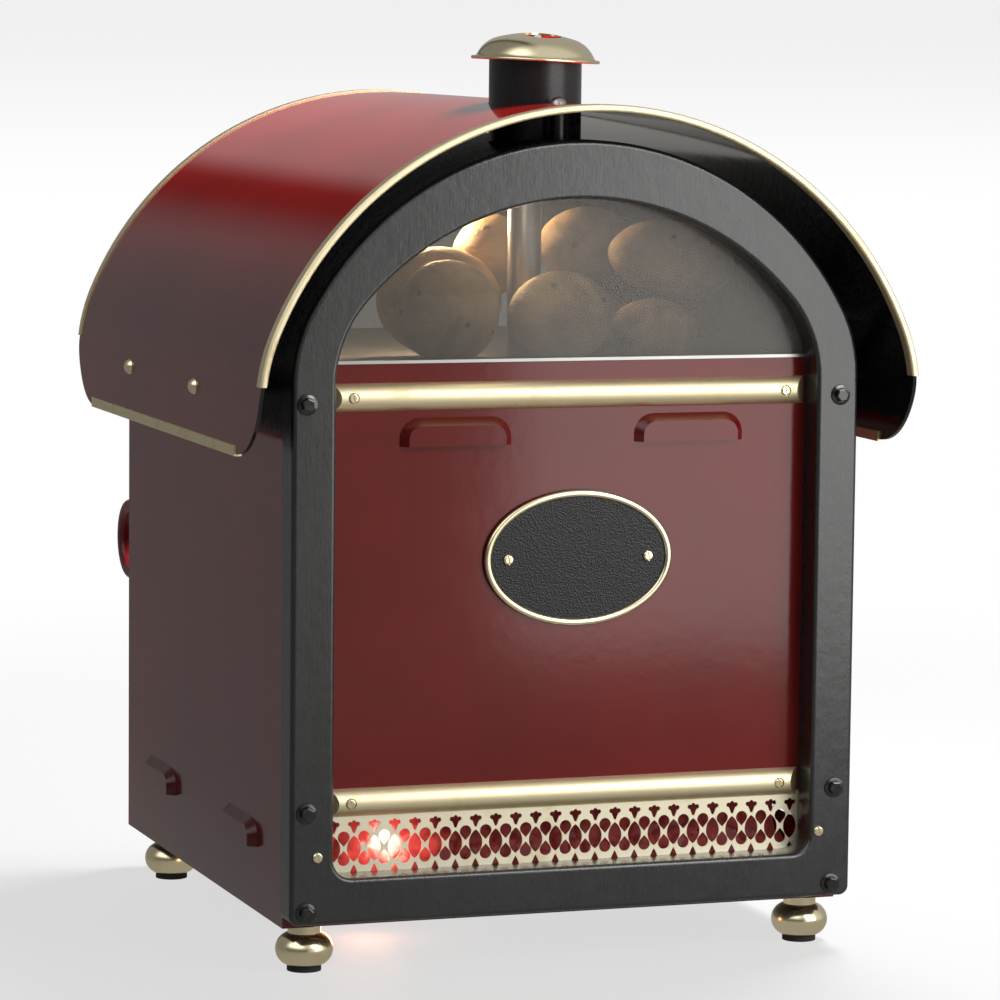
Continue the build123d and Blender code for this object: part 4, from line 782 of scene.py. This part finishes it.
class OVEN_OT_display(OvenOperator, bpy.types.Operator):
    """Display chamber: potatoes, floor, lamps and flue"""

    bl_idname = "oven.display"
    bl_label = "Display Chamber"

    # x, depth, half length, half width, half height, turn, tilt, centre height
    potatoes = (
        (-84, 90, 47, 39, 44, 20, 0, 484.1),
        (11, 84, 45, 38, 39, -8, 0, 479.1),
        (96, 92, 40, 34, 27, 6, 0, 467.1),
        (-64, 174, 54, 38, 47, -16, 0, 487.1),
        (64, 166, 48, 35, 30, 28, 0, 470.1),
        (-2, 222, 44, 34, 36, 64, 0, 522.2),
        (118, 108, 56, 36, 34, -10, 8, 524.3),
        (66, 172, 46, 35, 33, 12, -6, 533.4),
    )

    def build(self):
        heap = bmesh.new()
        for count, (x, depth, a, b, c, turn, tilt, height) in enumerate(self.potatoes):
            one = bmesh.new()
            bmesh.ops.create_icosphere(one, subdivisions=5, radius=1.0)
            for v in one.verts:
                way = v.co.copy()
                seed = Vector((count * 3.1, count * 1.7, 0))
                knobs = max(0.0, noise.noise(way * 2.6 + seed))
                dip = 0.5 - 0.5 * noise.noise(way * 1.1 + seed) + 0.3 * knobs
                v.co = Vector((way.x * a, way.y * b, way.z * c)) * MM - way * self.sizes.skin_lump * dip
            turned = Matrix.Rotation(math.radians(turn), 4, "Z") @ Matrix.Rotation(math.radians(tilt), 4, "Y")
            there = Matrix.Translation(at(x, depth, height)) @ turned
            bmesh.ops.transform(one, matrix=there, verts=one.verts)
            part = bpy.data.meshes.new("part")
            one.to_mesh(part)
            one.free()
            heap.from_mesh(part)
            bpy.data.meshes.remove(part)
        skins = piece("baked_potatoes", heap, potato_skin(self.looks))
        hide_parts("display_potatoes")
        dress(lamp_glass(), "display_lamp", "coal_lamp")
        dress(lamp_ceramic(), "lamp_holders")
        dress(bright_steel("floor_steel", (0.5, 0.5, 0.5)), "display_floor")
        dress(bright_steel("flue_steel", (0.5, 0.49, 0.47), (700.0, 700.0, 20.0)), "flue_tube")


class OVEN_OT_oven(OvenOperator, bpy.types.Operator):
    """Oven chamber, shelves, element and fan"""

    bl_idname = "oven.chamber"
    bl_label = "Oven Chamber"

    def build(self):
        steel = bright_steel("liner_steel", (0.48, 0.47, 0.45), (900.0, 40.0, 900.0))
        dress(steel, "oven_liner", "shelf_runners", "fan_baffle", "fan_wheel", "cap_bridge")
        chrome = bright_steel("shelf_chrome", (0.7, 0.7, 0.72), (400.0, 400.0, 400.0))
        dress(chrome, "oven_shelf_1", "oven_shelf_2")
        dress(mineral_wool(), "oven_insulation")
        dress(motor_grey(), "fan_motor")
        dress(element_dark(), "heating_element")


class OVEN_OT_doors(OvenOperator, bpy.types.Operator):
    """Oven door, its handle, and the display chamber's rear door"""

    bl_idname = "oven.doors"
    bl_label = "Rear Doors"

    def build(self):
        door = bright_steel("door_steel", (0.58, 0.58, 0.58), ALONG_Z)
        dress(door, "oven_door_pan", "display_door", "oven_hinges", "display_hinges")
        dress(clear_glass(), "display_door_glass")
        dress(moulded("grip_red", (0.15, 0.008, 0.010), 0.25, 0.42), "oven_door_handle")
        dress(moulded("knob_black", (0.016, 0.016, 0.017)), "display_door_knob")


class OVEN_OT_controls(OvenOperator, bpy.types.Operator):
    """Control panel, knobs with their dials, rockers, lenses and gland"""

    bl_idname = "oven.controls"
    bl_label = "Controls"

    # millimetres across, up and back; degrees between marks
    knob_places, knob_height, panel_face = (-130, -55), 49, 519.15
    dial_radius, ticks, tick_pitch = 27.5, 13, 25
    tick_width, print_t = 0.6 * MM, 0.25 * MM
    pointer_width, pointer_length, pointer_proud = 1.2 * MM, 12 * MM, 0.1 * MM

    def build(self):
        dress(bright_steel("panel_steel", (0.56, 0.56, 0.56)), "control_panel")
        black = moulded("control_black", (0.016, 0.016, 0.017))
        dress(black, "thermostat_knob", "timer_knob", "control_bodies", "switch_cases", "inlet_gland")
        dress(moulded("rocker_red", (0.36, 0.012, 0.012), 0.12, 0.25), "oven_switch", "lamp_switch")
        dress(amber_lens(), "indicator_lenses")
        self.dials(dial_white())

    def dials(self, white):
        """Marks on the panel round each knob, and a pointer on the knob."""
        spots = []
        for centre in self.knob_places:
            for k in range(self.ticks):
                angle = math.radians(self.tick_pitch * (k - (self.ticks - 1) / 2))
                across, rise = self.dial_radius * math.sin(angle), self.dial_radius * math.cos(angle)
                place = at(centre - across, self.panel_face, self.knob_height + rise)
                spots.append((place, (0, 1, 0), angle, 1.0))
        tick = block(self.tick_width, self.sizes.tick_length, self.print_t)
        copies("dial_ticks", tick, spots, white, smooth=False)
        for knob in ("thermostat_knob", "timer_knob"):
            low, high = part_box(knob)
            line = block(self.pointer_width, self.print_t, self.pointer_length)
            middle = Vector(((low.x + high.x) / 2, high.y + self.pointer_proud, (low.z + high.z) / 2))
            middle.z += self.pointer_length
            bmesh.ops.translate(line, vec=middle, verts=line.verts)
            piece(knob + "_pointer", line, white, body=knob + "_body", smooth=False)


class OVEN_OT_stage(OvenOperator, bpy.types.Operator):
    """Pale floor, studio lights and the camera at the photograph's viewing angle"""

    bl_idname = "oven.stage"
    bl_label = "Stage"

    # place, target and size in metres, watts, tint, whether reflections show it
    lamps = {
        "key": ((0.9, -2.1, 1.6), (0, 0, 0.35), 1.0, 16, (1.0, 0.98, 0.95), True),
        "card": ((0.76, -1.2, 0.53), (0.3, 0, 0.35), 0.9, 5.4, (1.0, 0.99, 0.98), True),
        "top": ((0.75, 0.5, 2.1), (0, 0, 0.5), 0.9, 180, (1.0, 1.0, 1.0), False),
    }
    # place in millimetres across, back and up, watts, radius in metres, tint
    bulbs = {
        "display_light": ((-50, 240, 562), 5.4, 0.018, (1.0, 0.70, 0.40)),
        "display_fill": ((-40, 34, 566), 0.12, 0.03, (1.0, 0.86, 0.68)),
        "coal_light": ((-146, 84, 40), 0.2, 0.012, (1.0, 0.22, 0.12)),
        "floor_glow": ((-130, 150, -18), 0.35, 0.03, (1.0, 0.35, 0.18)),
    }
    # the camera in metres and degrees, its lens and sensor in millimetres
    viewpoint, yaw, pitch, roll = (-1.26617, -3.69417, 0.7757), 19.30, 6.185, 0.605
    focal_length, sensor_width = 163.607, 36.0
    floor_half = 14.0

    def build(self):
        self.floor()
        self.world()
        for name, settings in self.lamps.items():
            self.lamp(name, *settings)
        for name, settings in self.bulbs.items():
            self.bulb(name, *settings)
        self.camera()

    def floor(self):
        """Pale floor: white to the camera, and dim in reflections, as in the photograph's room."""
        bm = bmesh.new()
        bmesh.ops.create_grid(bm, x_segments=2, y_segments=2, size=self.floor_half)
        f = Finish("floor", roughness=0.6)
        x, y, _ = f.axes()
        f.plug("Base Color", f.blend(f.speckle(3.0), (0.29, 0.29, 0.29), (0.31, 0.31, 0.31)))
        rays = f.node("ShaderNodeLightPath")
        white, dim, dark = (
            f.node("ShaderNodeEmission", None, (*tint, 1.0), strength).out()
            for tint, strength in (((1.0, 1.0, 1.0), 1.0), ((1.0, 0.94, 0.84), 1.0), ((1.0, 1.0, 1.0), 0.2))
        )
        seen = rays.out("Is Camera Ray") + rays.out("Is Transmission Ray")
        away = (x * x + y * y).root()
        lit = Wire(f, f.surface.outputs[0])
        plain = f.mixed(seen * away.clamped(0.35, 2.2, 0.67, 1.0), lit, white)
        sheen = f.mixed(y.clamped(-1.5, -1.1, 0.42, 0.18) * x.clamped(-0.5, -0.1), dark, dim)
        shown = f.mixed(rays.out("Is Glossy Ray"), plain, sheen)
        f.tree.links.new(shown.socket, f.tree.nodes["Material Output"].inputs["Surface"])
        piece("floor", bm, f.material, body=None, smooth=False)

    def world(self):
        """White behind the object; reflections see a dim room, lighter ahead and to the right."""
        world = bpy.data.worlds.new("studio")
        bpy.context.scene.world = world
        world.use_nodes = True
        sky = Nodes(world.node_tree)
        sky.tree.nodes.clear()
        way = sky.node("ShaderNodeSeparateXYZ", None, sky.node("ShaderNodeTexCoord").out("Generated"))
        x, y, z = (way.out(axis) for axis in "XYZ")
        behind = x.clamped(-0.01, 0.07, 0.0, 0.33) + x.clamped(-0.15, -0.03, 0.21, 0.03)
        level, upward = x.clamped(-0.15, 0.28, 0.12, 0.6), x.clamped(-0.45, -0.1, 1.6, 0.6)
        ahead = sky.choose(z.clamped(0.2, 0.55), level, upward)
        mirrored = sky.choose(y.clamped(-0.25, 0.25, 1.0, 0.0), behind, ahead)
        rays = sky.node("ShaderNodeLightPath")
        unseen = sky.choose(rays.out("Is Glossy Ray"), 0.11, mirrored)
        shown = sky.choose(rays.out("Is Camera Ray"), unseen, z.clamped(-0.045, 0.0, 1.0, 0.87))
        light = sky.node("ShaderNodeBackground", None, (1.0, 1.0, 1.0, 1.0), shown)
        sky.node("ShaderNodeOutputWorld", None, light.out())

    def stand(self, name, data, place):
        """An object of the stage at its place."""
        made = bpy.data.objects.new(name, data)
        made.location = place
        bpy.context.scene.collection.objects.link(made)
        return made

    def lamp(self, name, place, target, size, power, tint, mirrored):
        """Soft square light, turned to its target and unseen by the camera."""
        lamp = bpy.data.lights.new(name, "AREA")
        lamp.shape, lamp.size, lamp.energy, lamp.color = "SQUARE", size, power, tint
        made = self.stand(name, lamp, place)
        made.rotation_euler = (Vector(target) - Vector(place)).to_track_quat("-Z", "Y").to_euler()
        made.visible_camera = False
        made.visible_glossy = mirrored

    def bulb(self, name, place, power, radius, tint):
        """Small round light inside or under the oven."""
        lamp = bpy.data.lights.new(name, "POINT")
        lamp.energy, lamp.shadow_soft_size, lamp.color = power, radius, tint
        self.stand(name, lamp, at(*place)).visible_camera = False

    def camera(self):
        """The photograph's viewpoint: yaw and pitch of the line of sight, then a small roll."""
        yaw, pitch, roll = (math.radians(angle) for angle in (self.yaw, self.pitch, self.roll))
        ahead = Vector((math.sin(yaw) * math.cos(pitch), math.cos(yaw) * math.cos(pitch), -math.sin(pitch)))
        right = Vector((math.cos(yaw), -math.sin(yaw), 0))
        upward = right.cross(ahead)
        level = math.cos(roll) * right + math.sin(roll) * upward
        tall = math.cos(roll) * upward - math.sin(roll) * right
        lens = bpy.data.cameras.new("camera")
        lens.sensor_width, lens.lens = self.sensor_width, self.focal_length
        lens.clip_start, lens.clip_end = 0.1, 60.0
        made = self.stand("camera", lens, self.viewpoint)
        made.matrix_world = Matrix((level, tall, -ahead)).transposed().to_4x4()
        made.location = self.viewpoint
        bpy.context.scene.camera = made
        bpy.context.scene.view_settings.view_transform = "Standard"


class OVEN_PT_sidebar(bpy.types.Panel):
    """Lists the oven's pieces"""

    bl_idname = "OVEN_PT_sidebar"
    bl_label = "Baked Potato Oven"
    bl_space_type = "VIEW_3D"
    bl_region_type = "UI"
    bl_category = "Potato Oven"

    def draw(self, context):
        for group in (context.scene.oven_sizes, context.scene.oven_looks):
            box = self.layout.box()
            for name in group.__annotations__:
                box.prop(group, name)
        for operator in OPERATORS:
            self.layout.operator(operator.bl_idname)


OPERATORS = (
    OVEN_OT_cast_front, OVEN_OT_enamel, OVEN_OT_brasswork, OVEN_OT_window, OVEN_OT_coals,
    OVEN_OT_display, OVEN_OT_oven, OVEN_OT_doors, OVEN_OT_controls, OVEN_OT_stage,
)
CLASSES = (OvenLooks, OvenSizes, *OPERATORS, OVEN_PT_sidebar)


def register():
    for each in CLASSES:
        bpy.utils.register_class(each)
    bpy.types.Scene.oven_looks = PointerProperty(type=OvenLooks)
    bpy.types.Scene.oven_sizes = PointerProperty(type=OvenSizes)


def unregister():
    del bpy.types.Scene.oven_looks
    del bpy.types.Scene.oven_sizes
    for each in reversed(CLASSES):
        bpy.utils.unregister_class(each)


def main():
    """Builds every piece in order."""
    register()
    for operator in OPERATORS:
        group, name = operator.bl_idname.split(".")
        getattr(getattr(bpy.ops, group), name)()


if __name__ == "__main__":
    main()
